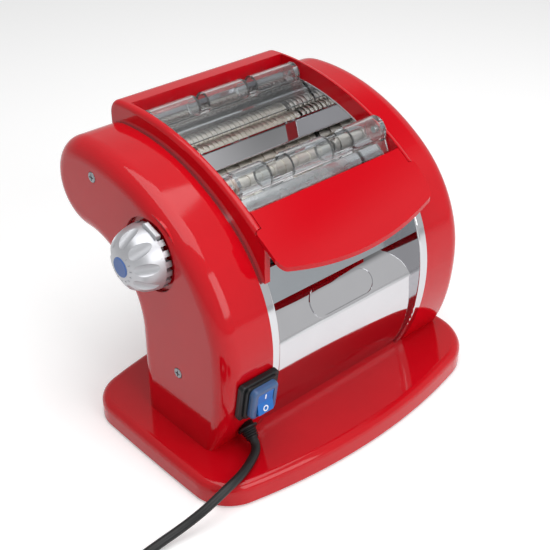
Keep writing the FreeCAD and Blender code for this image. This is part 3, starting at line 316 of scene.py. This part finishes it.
def turned_metal(name, colour, gloss, ring_mm, ring_depth_mm):
    """Lathe turned metal: fine rings round the roller's axis, which lies along X.

    A band wave of scale s repeats every 0.314 / s, so s = 0.314 / spacing. The real feed of about 0.1 mm
    is too fine to show, and the rings are drawn at ring_mm.
    """
    material, tree = blank_material(name)
    place = add_node(tree, "ShaderNodeTexCoord").outputs["Object"]
    rings = add_node(
        tree, "ShaderNodeTexWave", {"Scale": 0.314 / (ring_mm * MM), "Distortion": 0.6, "Detail": 2.0},
        {"Vector": place}, wave_type="BANDS", bands_direction="X")
    patch = add_node(
        tree, "ShaderNodeTexNoise", {"Scale": PATCH_SCALE, "Detail": 4.0}, {"Vector": place})
    surface(tree, colour, 0.82, rings.outputs["Fac"], gloss, patch.outputs["Fac"], (0.3, 0.7),
            rings.outputs["Fac"], (0.4, ring_depth_mm), Metallic=1.0)
    return material


def clear_plastic(name, colour, gloss):
    """Clear moulded plastic: water clear, with a faint haze where it is handled."""
    material, tree = blank_material(name)
    place = add_node(tree, "ShaderNodeTexCoord").outputs["Object"]
    haze = add_node(
        tree, "ShaderNodeTexNoise", {"Scale": HAZE_SCALE, "Detail": 4.0}, {"Vector": place})
    rough = add_node(
        tree, "ShaderNodeMapRange",
        {"From Min": 0.4, "From Max": 0.75, "To Min": gloss[0], "To Max": gloss[1]},
        {"Value": haze.outputs["Fac"]})
    clear = add_node(
        tree, "ShaderNodeBsdfPrincipled",
        {"Base Color": rgba(colour), "Transmission Weight": CLEAR_SHARE, "IOR": CLEAR_IOR},
        {"Roughness": rough.outputs["Result"]})
    add_node(tree, "ShaderNodeOutputMaterial", links={"Surface": clear.outputs["BSDF"]})
    return material


def finish(names, material):
    """Give CAD nodes a material in place of their plain one."""
    for name in names:
        slots = NODES[name].data.materials
        slots.clear()
        slots.append(material)


def object_from(name, verts, faces, material, smooth=True):
    """Mesh object at the origin from vertex and face arrays."""
    mesh = bpy.data.meshes.new(name)
    mesh.from_pydata(np.asarray(verts).tolist(), [], np.asarray(faces).tolist())
    mesh.polygons.foreach_set("use_smooth", np.full(len(mesh.polygons), smooth))
    mesh.materials.append(material)
    mesh.validate()
    piece = bpy.data.objects.new(name, mesh)
    bpy.context.scene.collection.objects.link(piece)
    return piece


def grid_faces(rows, columns, closed_rows=False, closed_columns=True):
    """Quads of a grid whose point (i, j) has index i * columns + j; closed ways wrap round."""
    i = np.arange(rows if closed_rows else rows - 1)
    j = np.arange(columns if closed_columns else columns - 1)
    a, b = np.meshgrid(i, j, indexing="ij")
    up, side = (a + 1) % rows, (b + 1) % columns
    low, high = a * columns, up * columns
    return np.stack([low + b, low + side, high + side, high + b], -1).reshape(-1, 4)


def turned_grid(profile, start, along, sides):
    """Profile of (distance, radius) turned about the line from start along a direction.

    Point (i, k) = start + d_i * along + r_i * (cos t_k * u + sin t_k * v), with u and v square to along.
    """
    profile = np.asarray(profile, float)
    along = np.asarray(along, float) / np.linalg.norm(along)
    u = np.cross(along, (0.0, 0.0, 1.0))
    u /= np.linalg.norm(u)
    v = np.cross(along, u)
    t = np.linspace(0, 2 * np.pi, sides, endpoint=False)
    ring = np.cos(t)[:, None] * u + np.sin(t)[:, None] * v
    points = np.asarray(start) + profile[:, :1, None] * along + profile[:, 1:, None] * ring
    return points.reshape(-1, 3)


class PASTA_OT_covers(bpy.types.Operator):
    """Finish the glossy covers, the polished plates and the inner sheets"""

    bl_idname = "pasta_roller.covers"
    bl_label = "Covers and plates"

    def execute(self, context):
        colours = context.scene.pasta_finish
        # High gloss moulded ABS: deep red under a clear skin that mirrors the room faintly
        shell = moulded_plastic("glossy_red_abs", colours.shell, (0.05, 0.11), 0.8, 0.002)
        finish(("base_tray", "left_housing", "right_housing", "hood_frame", "visor",
                "index_ring"), shell)
        # Chrome plated steel sheet: a near mirror with a slow ripple from rolling
        chrome = polished_metal("chrome_plated_steel", colours.chrome, (0.03, 0.09), 60.0, 0.05)
        finish(("left_side_plate", "right_side_plate", "front_panel", "rear_cover", "feed_wall",
                "divider_bar"), chrome)
        # Cold rolled steel sheet: duller, with fine scratches
        sheet = turned_metal("cold_rolled_steel", colours.sheet, (0.12, 0.22), 0.9, 0.004)
        finish(("base_cover", "carrier_guides", "sheet_guide", "rear_panel"), sheet)
        # Clear polycarbonate: bright edges and reflections, no colour of its own
        guard = clear_plastic("clear_polycarbonate", colours.guard, (0.0, 0.03))
        finish(("front_guard", "rear_guard"), guard)
        # Moulded rubber: matt and slightly grainy
        rubber = moulded_plastic("black_rubber", colours.rubber, (0.55, 0.7), 0.7, 0.02)
        finish(("rubber_feet",), rubber)
        return {"FINISHED"}


class PASTA_OT_drive(bpy.types.Operator):
    """Finish the rollers, cutters, gears, bearings and the motor"""

    bl_idname = "pasta_roller.drive"
    bl_label = "Rollers and drive"

    def execute(self, context):
        colours = context.scene.pasta_finish
        # Turned aluminium alloy: bright satin with fine rings
        roller = turned_metal("turned_aluminium", colours.roller, (0.2, 0.32), 0.8, 0.004)
        finish(("adjustable_roller", "fixed_roller"), roller)
        # Hard anodised aluminium: warm grey and satin
        cutter = turned_metal("anodised_aluminium", colours.cutter, (0.32, 0.45), 0.7, 0.002)
        finish(("wide_cutter_front", "wide_cutter_rear", "fine_cutter_front",
                "fine_cutter_rear"), cutter)
        # Bright zinc plated steel: grey satin
        gear = polished_metal("zinc_plated_steel", colours.gear, (0.25, 0.4), 3.0, 0.01)
        finish(("housing_screws", "tie_rods", "gear_axles", "hinge_pins", "regulator_shaft",
                "regulator_cam", "adjustable_roller_gear", "fixed_roller_gear", "bull_gear",
                "idler_gear_low", "idler_gear_high", "wide_front_gear", "wide_rear_gear",
                "fine_front_gear", "fine_rear_gear", "motor_shaft", "motor_pinion"), gear)
        # Sintered bronze: brown gold with open pores
        bronze = polished_metal("sintered_bronze", colours.bronze, (0.32, 0.5), 0.9, 0.03)
        finish(("roller_bushes", "left_carrier", "right_carrier"), bronze)
        # Powder coated steel: dark satin with a fine orange peel
        motor = moulded_plastic("powder_coated_steel", colours.motor, (0.4, 0.5), 1.2, 0.03)
        finish(("motor_body", "motor_gearbox"), motor)
        return {"FINISHED"}


class PASTA_OT_controls(bpy.types.Operator):
    """Finish the knob and the switch"""

    bl_idname = "pasta_roller.controls"
    bl_label = "Knob and switch"

    def execute(self, context):
        colours = context.scene.pasta_finish
        # Silver painted ABS: pale satin with metal flake
        silver = polished_metal(
            "silver_painted_abs", colours.knob, (0.36, 0.46), 0.5, 0.004, metallic=0.7)
        finish(("knob",), silver)
        # Dyed acetal disc: an even matt blue
        cap = moulded_plastic("blue_acetal", colours.cap, (0.3, 0.42), 0.5, 0.01)
        finish(("knob_cap",), cap)
        # Glass filled nylon: black with a dull sparkle
        nylon = moulded_plastic("black_nylon", colours.black, (0.3, 0.45), 0.6, 0.012)
        finish(("switch_bezel", "motor_saddle", "cord_tie", "plug_body"), nylon)
        # Dyed polycarbonate key: deep blue with a soft gloss
        key = moulded_plastic("blue_polycarbonate", colours.key, (0.3, 0.4), 0.8, 0.003)
        finish(("switch_rocker",), key)
        # Tinted silicone splash cover: a wet looking grey blue skin
        boot = moulded_plastic("tinted_silicone", colours.boot, (0.16, 0.28), 0.8, 0.003)
        finish(("switch_boot",), boot)
        # Nickel plated brass pins: warm bright metal
        pins = polished_metal("nickel_plated_brass", colours.pin, (0.15, 0.25), 2.0, 0.004)
        finish(("plug_pins",), pins)
        return {"FINISHED"}


def figure_mesh(text, height):
    """Flat raised figure in the XY plane, centred, as a mesh."""
    curve = bpy.data.curves.new("figure", "FONT")
    curve.body = text
    curve.size = height
    curve.align_x = "CENTER"
    curve.align_y = "CENTER"
    curve.extrude = 0.15 * MM
    curve.resolution_u = 4
    holder = bpy.data.objects.new("figure", curve)
    bpy.context.scene.collection.objects.link(holder)
    bpy.context.view_layer.update()
    mesh = bpy.data.meshes.new_from_object(holder)
    bpy.data.objects.remove(holder)
    bpy.data.curves.remove(curve)
    return mesh


def merged(name, meshes, material):
    """One object of several meshes, each already in its place."""
    verts, faces, start = [], [], 0
    for mesh in meshes:
        flat = np.empty(len(mesh.vertices) * 3)
        mesh.vertices.foreach_get("co", flat)
        verts.append(flat.reshape(-1, 3))
        corners = np.empty(len(mesh.loops), int)
        mesh.loops.foreach_get("vertex_index", corners)
        firsts = np.empty(len(mesh.polygons), int)
        mesh.polygons.foreach_get("loop_start", firsts)
        faces += [face.tolist() for face in np.split(start + corners, firsts[1:])]
        start += len(mesh.vertices)
        bpy.data.meshes.remove(mesh)
    mesh = bpy.data.meshes.new(name)
    mesh.from_pydata(np.concatenate(verts).tolist(), [], faces)
    mesh.materials.append(material)
    mesh.validate()
    piece = bpy.data.objects.new(name, mesh)
    bpy.context.scene.collection.objects.link(piece)
    return piece


class PASTA_OT_figures(bpy.types.Operator):
    """Set the raised figures round the knob's cap"""

    bl_idname = "pasta_roller.figures"
    bl_label = "Knob figures"

    def execute(self, context):
        meshes = []
        for k in range(FIGURE_COUNT):
            mesh = figure_mesh(str(k + 1), FIGURE_HEIGHT * MM)
            turn = Matrix.Rotation(math.radians(FIGURE_FIRST + FIGURE_STEP * k), 4, "X")
            # The figure's own up goes outwards, its face to -X, leaning with the dome
            face = Matrix(((0, 0, -1, 0), (-1, 0, 0, 0), (0, 1, 0, 0), (0, 0, 0, 1)))
            lean = Matrix.Rotation(math.radians(FIGURE_TILT), 4, "Y")
            out = Matrix.Translation(Vector((0, 0, FIGURE_RING_R * MM)))
            centre = in_frame((FIGURE_RING_X, *KNOB_AXIS))
            mesh.transform(Matrix.Translation(Vector(centre)) @ turn @ out @ lean @ face)
            meshes.append(mesh)
        colour = context.scene.pasta_finish.figure
        # Grey plastic of the raised figures: a soft even tone
        grey = moulded_plastic("grey_raised_print", colour, (0.35, 0.5), 0.5, 0.002)
        piece = merged("knob_figures", meshes, grey)
        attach(piece, "knob_grip")
        return {"FINISHED"}


def on_switch(points):
    """Millimetre points of the switch's own frame (x, up, out), on the leaning band, in metres."""
    lean = Matrix.Rotation(math.radians(90 + SWITCH_LEAN), 3, "X")
    turned = np.asarray(points, float) @ np.array(lean).T
    return in_frame(turned + np.array(SWITCH_AT))


def loop_band(outer, inner, base, height):
    """Flat closed band between two outlines, from under the face base(up) to height over it.

    Four lines of the profile (outer low, outer high, inner high, inner low) run round the outline.
    """
    lines = []
    for outline, lift in ((outer, -MARK_SINK), (outer, height), (inner, height), (inner, -MARK_SINK)):
        lines.append(np.column_stack([outline, base(outline[:, 1]) + lift]))
    return np.concatenate(lines), grid_faces(len(lines), len(outer), closed_rows=True)


def stadium(half_width, half_length, sides):
    """Outline of a bar with round ends about the origin: a circle whose halves move apart."""
    t = np.linspace(0, 2 * np.pi, sides, endpoint=False)
    straight = (half_length - half_width) * np.sign(np.sin(t) + 1e-9)
    return np.column_stack([half_width * np.cos(t), half_width * np.sin(t) + straight])


class PASTA_OT_marks(bpy.types.Operator):
    """Set the on and off marks on the rocker key"""

    bl_idname = "pasta_roller.marks"
    bl_label = "Key marks"

    def execute(self, context):
        # Pad printed ink: flat white on the blue key
        ink = moulded_plastic("white_pad_print", context.scene.pasta_finish.ink, (0.3, 0.45), 0.5, 0.001)

        def upper(v):
            return KEY_RIDGE + v * math.tan(math.radians(KEY_UPPER_SLOPE))

        def lower(v):
            return KEY_RIDGE - v * math.tan(math.radians(KEY_LOWER_SLOPE))

        bar = stadium(BAR_HALF_WIDTH, MARK_HALF, 48)
        at_bar = np.array((0.0, BAR_UP))
        bar_verts, bar_faces = loop_band(bar + at_bar, bar * BAR_BORE + at_bar, upper, MARK_LIFT)
        ring = stadium(MARK_HALF, MARK_HALF, 72)
        at_ring = np.array((0.0, RING_UP))
        ring_verts, ring_faces = loop_band(ring + at_ring, ring * RING_BORE + at_ring, lower, MARK_LIFT)
        verts = np.concatenate([bar_verts, ring_verts])
        faces = np.concatenate([bar_faces, ring_faces + len(bar_verts)])
        piece = object_from("key_marks", on_switch(verts), faces, ink, smooth=False)
        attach(piece, "rocker")
        return {"FINISHED"}


def coil_points():
    """Control points of the coil: half turns that spiral in on the floor, climb and spiral out on top.

    Half turn k has radius R - pitch / 2 * min(k, 2 n - k). It goes round the left for even k, and round
    the right for odd k.
    """
    x, y, z = COIL_CENTRE[0], COIL_CENTRE[1] + COIL_OUTER_R, COIL_Z
    t = np.linspace(0, np.pi, COIL_STEPS, endpoint=False)
    turns = []
    for k in range(2 * COIL_HALVES + 1):
        radius = COIL_OUTER_R - COIL_PITCH / 2 * min(k, 2 * COIL_HALVES - k)
        side = -1 if k % 2 == 0 else 1
        climb = COIL_PITCH if k == COIL_HALVES else 0.0
        across = x + side * radius * np.sin(t)
        up = y + side * radius * (1 - np.cos(t))
        turns.append(np.column_stack([across, up, z + climb * (1 - np.cos(t)) / 2]))
        y += side * 2 * radius
        z += climb
    end = np.array([[x, y, z], [x + PLUG_TAIL / 2, y, z], [x + PLUG_TAIL, y, z]])
    return np.concatenate(turns + [end])


def signed_power(values, exponent):
    return np.sign(values) * np.abs(values) ** exponent


def oval_grid(sections, start, sides):
    """Rounded sections carried along +X: (x, a, b, n) is |y / a| ** n + |z / b| ** n = 1 at start + x.

    Its points are y = a * c ** (2 / n) and z = b * s ** (2 / n), with c = cos t and s = sin t, signs kept.
    """
    x, a, b, n = (column[:, None] for column in np.asarray(sections, float).T)
    t = np.linspace(0, 2 * np.pi, sides, endpoint=False)[None]
    y, z = a * signed_power(np.cos(t), 2 / n), b * signed_power(np.sin(t), 2 / n)
    points = np.stack([x + 0 * t, y, z], -1) + np.asarray(start, float)
    return points.reshape(-1, 3)


class PASTA_OT_plug(bpy.types.Operator):
    """Make the moulded plug with its flexing neck and finger grips"""

    bl_idname = "pasta_roller.plug"
    bl_label = "Plug"

    def execute(self, context):
        # Sections (x, half width, half height, squareness): a round neck with ribs, then a squared body
        neck = [(0.0, 0.0, 0.0, 2.0), (0.0, 4.0, 4.0, 2.0), (0.5, 4.4, 4.4, 2.0)]
        for k in range(PLUG_RIBS):
            foot, r = 2.0 + PLUG_RIB_STEP * k, 4.7 + 0.55 * k
            neck += [(foot + x, r + grow, r + grow, 2.0)
                     for x, grow in ((0.0, 0.0), (0.3, -0.9), (1.1, -0.9), (1.4, 0.2))]
        body = [(16.0, 7.2, 7.0, 2.2), (17.5, 10.5, 8.6, 2.5), (20.5, 13.4, 10.6, 2.9),
                (24.0, 14.7, 11.7, 3.3)]
        for k in range(PLUG_RIBS):
            foot = 26.0 + PLUG_RIB_STEP * k
            body += [(foot + x, width, PLUG_HALF_HIGH, 3.6)
                     for x, width in ((0.0, 14.9), (0.4, 14.2), (1.2, 14.2), (1.6, 14.9))]
        front = [(47.5, 14.9, PLUG_HALF_HIGH, 3.8), (49.2, 14.4, 11.5, 3.8), (50.0, 13.2, 10.4, 3.8),
                 (50.0, 0.0, 0.0, 3.8)]
        sections = neck + body + front
        verts = in_frame(oval_grid(sections, coil_points()[-1], PLUG_SIDES))
        # Moulded PVC: black and dull, with a fine grain
        pvc = moulded_plastic("plug_pvc", context.scene.pasta_finish.black, (0.38, 0.52), 0.6, 0.012)
        piece = object_from("moulded_plug", verts, grid_faces(len(sections), PLUG_SIDES), pvc)
        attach(piece, "frame")
        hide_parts("plug_body")
        return {"FINISHED"}


class PASTA_OT_tie(bpy.types.Operator):
    """Make the band that holds the coil: each line of its section runs round a squared oval"""

    bl_idname = "pasta_roller.tie"
    bl_label = "Coil tie"

    def execute(self, context):
        low, high = (np.array(corner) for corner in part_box("cord_tie"))
        middle, half = (low + high) / 2, (high - low) / 2
        t = np.linspace(0, 2 * np.pi, 96, endpoint=False)
        # Band section of (across, depth): inner and outer skins, edges pulled in a little
        section = ((-1.0, 0.3), (-0.9, 0.0), (0.9, 0.0), (1.0, 0.3),
                   (1.0, 0.8), (0.9, 1.0), (-0.9, 1.0), (-1.0, 0.8))
        rows = []
        for across, depth in section:
            reach = half - (1 - depth) * TIE_THICK * MM
            x = reach[0] * signed_power(np.cos(t), 2 / TIE_SQUARE)
            z = reach[2] * signed_power(np.sin(t), 2 / TIE_SQUARE)
            rows.append(np.column_stack([x, np.full(t.shape, across * half[1]), z]) + middle)
        faces = grid_faces(len(section), len(t), closed_rows=True)
        # Woven hook and loop band: black, coarse and matt
        woven = moulded_plastic("woven_tie", context.scene.pasta_finish.rubber, (0.6, 0.75), 0.9, 0.08)
        piece = object_from("coil_tie", np.concatenate(rows), faces, woven)
        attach(piece, "frame")
        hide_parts("cord_tie")
        return {"FINISHED"}


class PASTA_OT_cord(bpy.types.Operator):
    """Lay the mains cord: a loose lead from the strain relief and a tied coil beside the machine"""

    bl_idname = "pasta_roller.cord"
    bl_label = "Mains cord"

    def execute(self, context):
        sizes = context.scene.pasta_cord
        along = np.array(GLAND_DIR)
        tip = np.array(GLAND_AT) + GLAND_TIP * along
        route = np.concatenate([[tip, tip + LEAD_BEND * along], LEAD, coil_points()])
        curve = bpy.data.curves.new("mains_cord", "CURVE")
        curve.dimensions = "3D"
        line = curve.splines.new("NURBS")
        line.points.add(len(route) - 1)
        places = np.column_stack([in_frame(route), np.ones(len(route))])
        line.points.foreach_set("co", places.ravel())
        line.order_u = 3
        line.use_endpoint_u = True
        line.resolution_u = 5
        curve.bevel_depth = sizes.diameter / 2
        curve.bevel_resolution = 5
        curve.use_fill_caps = True
        # Soft PVC sheath: black, dull sheen
        sheath = moulded_plastic("pvc_sheath", context.scene.pasta_finish.cord, (0.34, 0.5), 0.6, 0.01)
        curve.materials.append(sheath)
        piece = bpy.data.objects.new("mains_cord", curve)
        context.scene.collection.objects.link(piece)
        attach(piece, "frame")
        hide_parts("cord_lead", "cord_coil")
        return {"FINISHED"}


class PASTA_OT_relief(bpy.types.Operator):
    """Make the ribbed strain relief where the cord leaves the machine"""

    bl_idname = "pasta_roller.relief"
    bl_label = "Strain relief"

    def execute(self, context):
        # Profile of (distance, radius): a plug in the wall, a collar, ribs that get smaller and a lip
        ribs = []
        for k in range(GLAND_RIBS):
            foot, radius = 5.2 + 1.75 * k, GLAND_R - 0.34 * k
            ribs += [(foot + x, radius - drop) for x, drop in (
                (0.0, 1.0), (0.25, 0.2), (0.5, 0.0), (0.9, 0.0), (1.15, 0.2), (1.4, 1.0))]
        collar = [(-9.0, 0.0), (-9.0, 5.6), (-8.6, GLAND_R), (2.2, GLAND_R), (2.2, 7.6), (2.6, 8.0),
                  (3.8, 8.0), (4.2, 7.6), (4.4, 5.2)]
        lip = [(12.4, 4.0), (GLAND_TIP, 3.7), (GLAND_TIP, 0.0)]
        profile = collar + ribs + lip
        verts = in_frame(turned_grid(profile, GLAND_AT, GLAND_DIR, GLAND_SIDES))
        # Moulded PVC: black with a dull skin
        pvc = moulded_plastic("moulded_pvc", context.scene.pasta_finish.rubber, (0.32, 0.46), 0.6, 0.01)
        piece = object_from("ribbed_relief", verts, grid_faces(len(profile), GLAND_SIDES), pvc)
        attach(piece, "frame")
        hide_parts("strain_relief")
        return {"FINISHED"}


class PASTA_OT_spring(bpy.types.Operator):
    """Wind the knob's spring at one length, though the real spring shortens as the knob is pulled

    Turn s of the wire has its centre at x0 - pitch * s along X, at radius R and angle 2 pi s. Its round
    section lies in the plane of that radius and X, and closes to a point at both ends.
    """

    bl_idname = "pasta_roller.spring"
    bl_label = "Knob spring"

    def execute(self, context):
        low, high = (np.array(corner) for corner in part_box("knob_spring"))
        wire = SPRING_WIRE * MM / 2
        middle = (low + high) / 2
        reach = (high[2] - low[2]) / 2 - wire
        s = np.linspace(0.0, SPRING_TURNS, 48 * SPRING_TURNS + 1)
        s = np.concatenate([s[:1], s, s[-1:]])
        thick = np.full(s.shape, wire)
        thick[[0, -1]] = 0.0
        zero = np.zeros(s.shape)
        out = np.column_stack([zero, np.sin(2 * np.pi * s), np.cos(2 * np.pi * s)])
        along = high[0] - wire - (high[0] - low[0] - 2 * wire) * s / SPRING_TURNS
        line = np.column_stack([along, zero + middle[1], zero + middle[2]]) + reach * out
        a = np.linspace(0, 2 * np.pi, 12, endpoint=False)[:, None]
        ring = np.cos(a) * out[:, None] + np.sin(a) * np.array((1.0, 0.0, 0.0))
        verts = (line[:, None] + thick[:, None, None] * ring).reshape(-1, 3)
        # Drawn spring steel wire: bright grey with faint die lines
        steel = polished_metal("spring_steel", context.scene.pasta_finish.gear, (0.2, 0.32), 0.6, 0.003)
        piece = object_from("wound_spring", verts, grid_faces(len(s), len(a)), steel)
        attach(piece, "regulator")
        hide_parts("knob_spring")
        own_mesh(piece)
        return {"FINISHED"}


def seen_rays(tree):
    """1 for the rays that show a background: from the camera, off a mirror or through glass."""
    path = add_node(tree, "ShaderNodeLightPath")
    seen = path.outputs["Is Camera Ray"]
    for ray in ("Is Glossy Ray", "Is Transmission Ray"):
        either = add_node(
            tree, "ShaderNodeMath", links={0: seen, 1: path.outputs[ray]}, operation="MAXIMUM")
        seen = either.outputs[0]
    return seen


def studio_white(name, colour, lift):
    """Matt pale floor that is seen as white and keeps the object's shadow."""
    material, tree = blank_material(name)
    matt = add_node(tree, "ShaderNodeBsdfDiffuse", {"Color": rgba(colour)})
    strength = add_node(tree, "ShaderNodeMath", {1: lift}, {0: seen_rays(tree)}, operation="MULTIPLY")
    glow = add_node(tree, "ShaderNodeEmission", links={"Strength": strength.outputs[0]})
    both = add_node(
        tree, "ShaderNodeAddShader", links={0: matt.outputs["BSDF"], 1: glow.outputs["Emission"]})
    add_node(tree, "ShaderNodeOutputMaterial", links={"Surface": both.outputs["Shader"]})
    return material


class PASTA_OT_stage(bpy.types.Operator):
    """Set the floor, the lamps, the world and the camera"""

    bl_idname = "pasta_roller.stage"
    bl_label = "Studio"

    def execute(self, context):
        stage = context.scene.pasta_stage
        self.floor(stage)
        self.lamps(context, stage)
        self.world(context, stage)
        self.camera(context, stage)
        return {"FINISHED"}

    def floor(self, stage):
        corners = np.array([(-1, -1, 0), (1, -1, 0), (1, 1, 0), (-1, 1, 0)], float)
        pale = studio_white("pale_floor", stage.floor, stage.floor_lift)
        plane = object_from("studio_floor", FLOOR_REACH * corners, [(0, 1, 2, 3)], pale)

    def lamps(self, context, stage):
        for name, power, (size, place, target) in (
                ("top_softbox", stage.top_power, TOP_LAMP),
                ("front_softbox", stage.front_power, FRONT_LAMP)):
            lamp = bpy.data.lights.new(name, "AREA")
            lamp.shape = "SQUARE"
            lamp.size = size
            lamp.energy = power
            holder = bpy.data.objects.new(name, lamp)
            holder.location = place
            aim = Vector(target) - Vector(place)
            holder.rotation_euler = aim.to_track_quat("-Z", "Y").to_euler()
            context.scene.collection.objects.link(holder)

    def world(self, context, stage):
        world = bpy.data.worlds.new("studio_world")
        context.scene.world = world
        world.use_nodes = True
        tree = world.node_tree
        tree.nodes.clear()
        place = add_node(tree, "ShaderNodeTexCoord").outputs["Generated"]
        way = add_node(tree, "ShaderNodeSeparateXYZ", links={0: place})
        # In mirrors a pale wall stands in front and a greyer one behind. The ceiling starts about
        # 40 degrees up, and is pale except on the far right, where it is dark
        wall = add_node(
            tree, "ShaderNodeMapRange",
            {"From Min": BACK_FROM, "From Max": BACK_TO,
             "To Min": stage.walls, "To Max": BACK_SHARE * stage.walls},
            {"Value": way.outputs["Y"]}, interpolation_type="SMOOTHSTEP")
        roof = add_node(
            tree, "ShaderNodeMapRange",
            {"From Min": DARK_FROM, "From Max": DARK_TO, "To Min": stage.walls, "To Max": stage.ceiling},
            {"Value": way.outputs["X"]}, interpolation_type="SMOOTHSTEP")
        room = add_node(
            tree, "ShaderNodeMapRange", {"From Min": CEILING_FROM, "From Max": CEILING_TO},
            {"Value": way.outputs["Z"], "To Min": wall.outputs["Result"],
             "To Max": roof.outputs["Result"]},
            interpolation_type="SMOOTHSTEP")
        path = add_node(tree, "ShaderNodeLightPath")
        shown = add_node(
            tree, "ShaderNodeMath", links={0: room.outputs["Result"], 1: path.outputs["Is Camera Ray"]},
            operation="MAXIMUM")
        strength = add_node(
            tree, "ShaderNodeMix", {"A": stage.ambient},
            {"Factor": seen_rays(tree), "B": shown.outputs[0]})
        sky = add_node(
            tree, "ShaderNodeBackground", {"Color": (1.0, 1.0, 1.0, 1.0)},
            {"Strength": strength.outputs["Result"]})
        add_node(tree, "ShaderNodeOutputWorld", links={"Surface": sky.outputs["Background"]})

    def camera(self, context, stage):
        lens = bpy.data.cameras.new("photo_camera")
        lens.sensor_width = SENSOR_MM
        lens.lens = SENSOR_MM * stage.focal_pixels / PICTURE_PIXELS
        lens.clip_start = 0.05
        eye = bpy.data.objects.new("photo_camera", lens)
        eye.location = stage.eye
        eye.rotation_euler = (math.pi / 2 - stage.elevation, 0.0, stage.azimuth)
        context.scene.collection.objects.link(eye)
        context.scene.camera = eye
        context.scene.view_settings.view_transform = "Standard"


STEPS = (PASTA_OT_covers, PASTA_OT_drive, PASTA_OT_controls, PASTA_OT_figures, PASTA_OT_marks,
         PASTA_OT_plug, PASTA_OT_tie, PASTA_OT_cord, PASTA_OT_relief, PASTA_OT_spring, PASTA_OT_stage)


class PASTA_PT_panel(bpy.types.Panel):
    """Steps and settings of the pasta roller"""

    bl_idname = "PASTA_PT_panel"
    bl_label = "Pasta Roller"
    bl_space_type = "VIEW_3D"
    bl_region_type = "UI"
    bl_category = "Pasta Roller"

    def draw(self, context):
        for step in STEPS:
            self.layout.operator(step.bl_idname)
        for group in SETTINGS:
            values = getattr(context.scene, group)
            column = self.layout.column()
            for name in values.bl_rna.properties.keys():
                if name not in ("name", "rna_type"):
                    column.prop(values, name)


SETTINGS = {"pasta_finish": FinishSettings, "pasta_cord": CordSettings, "pasta_stage": StageSettings}
CLASSES = (*SETTINGS.values(), *STEPS, PASTA_PT_panel)


def register():
    for item in CLASSES:
        bpy.utils.register_class(item)
    for name, group in SETTINGS.items():
        setattr(bpy.types.Scene, name, bpy.props.PointerProperty(type=group))


def unregister():
    for name in SETTINGS:
        delattr(bpy.types.Scene, name)
    for item in reversed(CLASSES):
        bpy.utils.unregister_class(item)


def main():
    register()
    for step in STEPS:
        family, name = step.bl_idname.split(".")
        getattr(getattr(bpy.ops, family), name)()


if __name__ == "__main__":
    main()
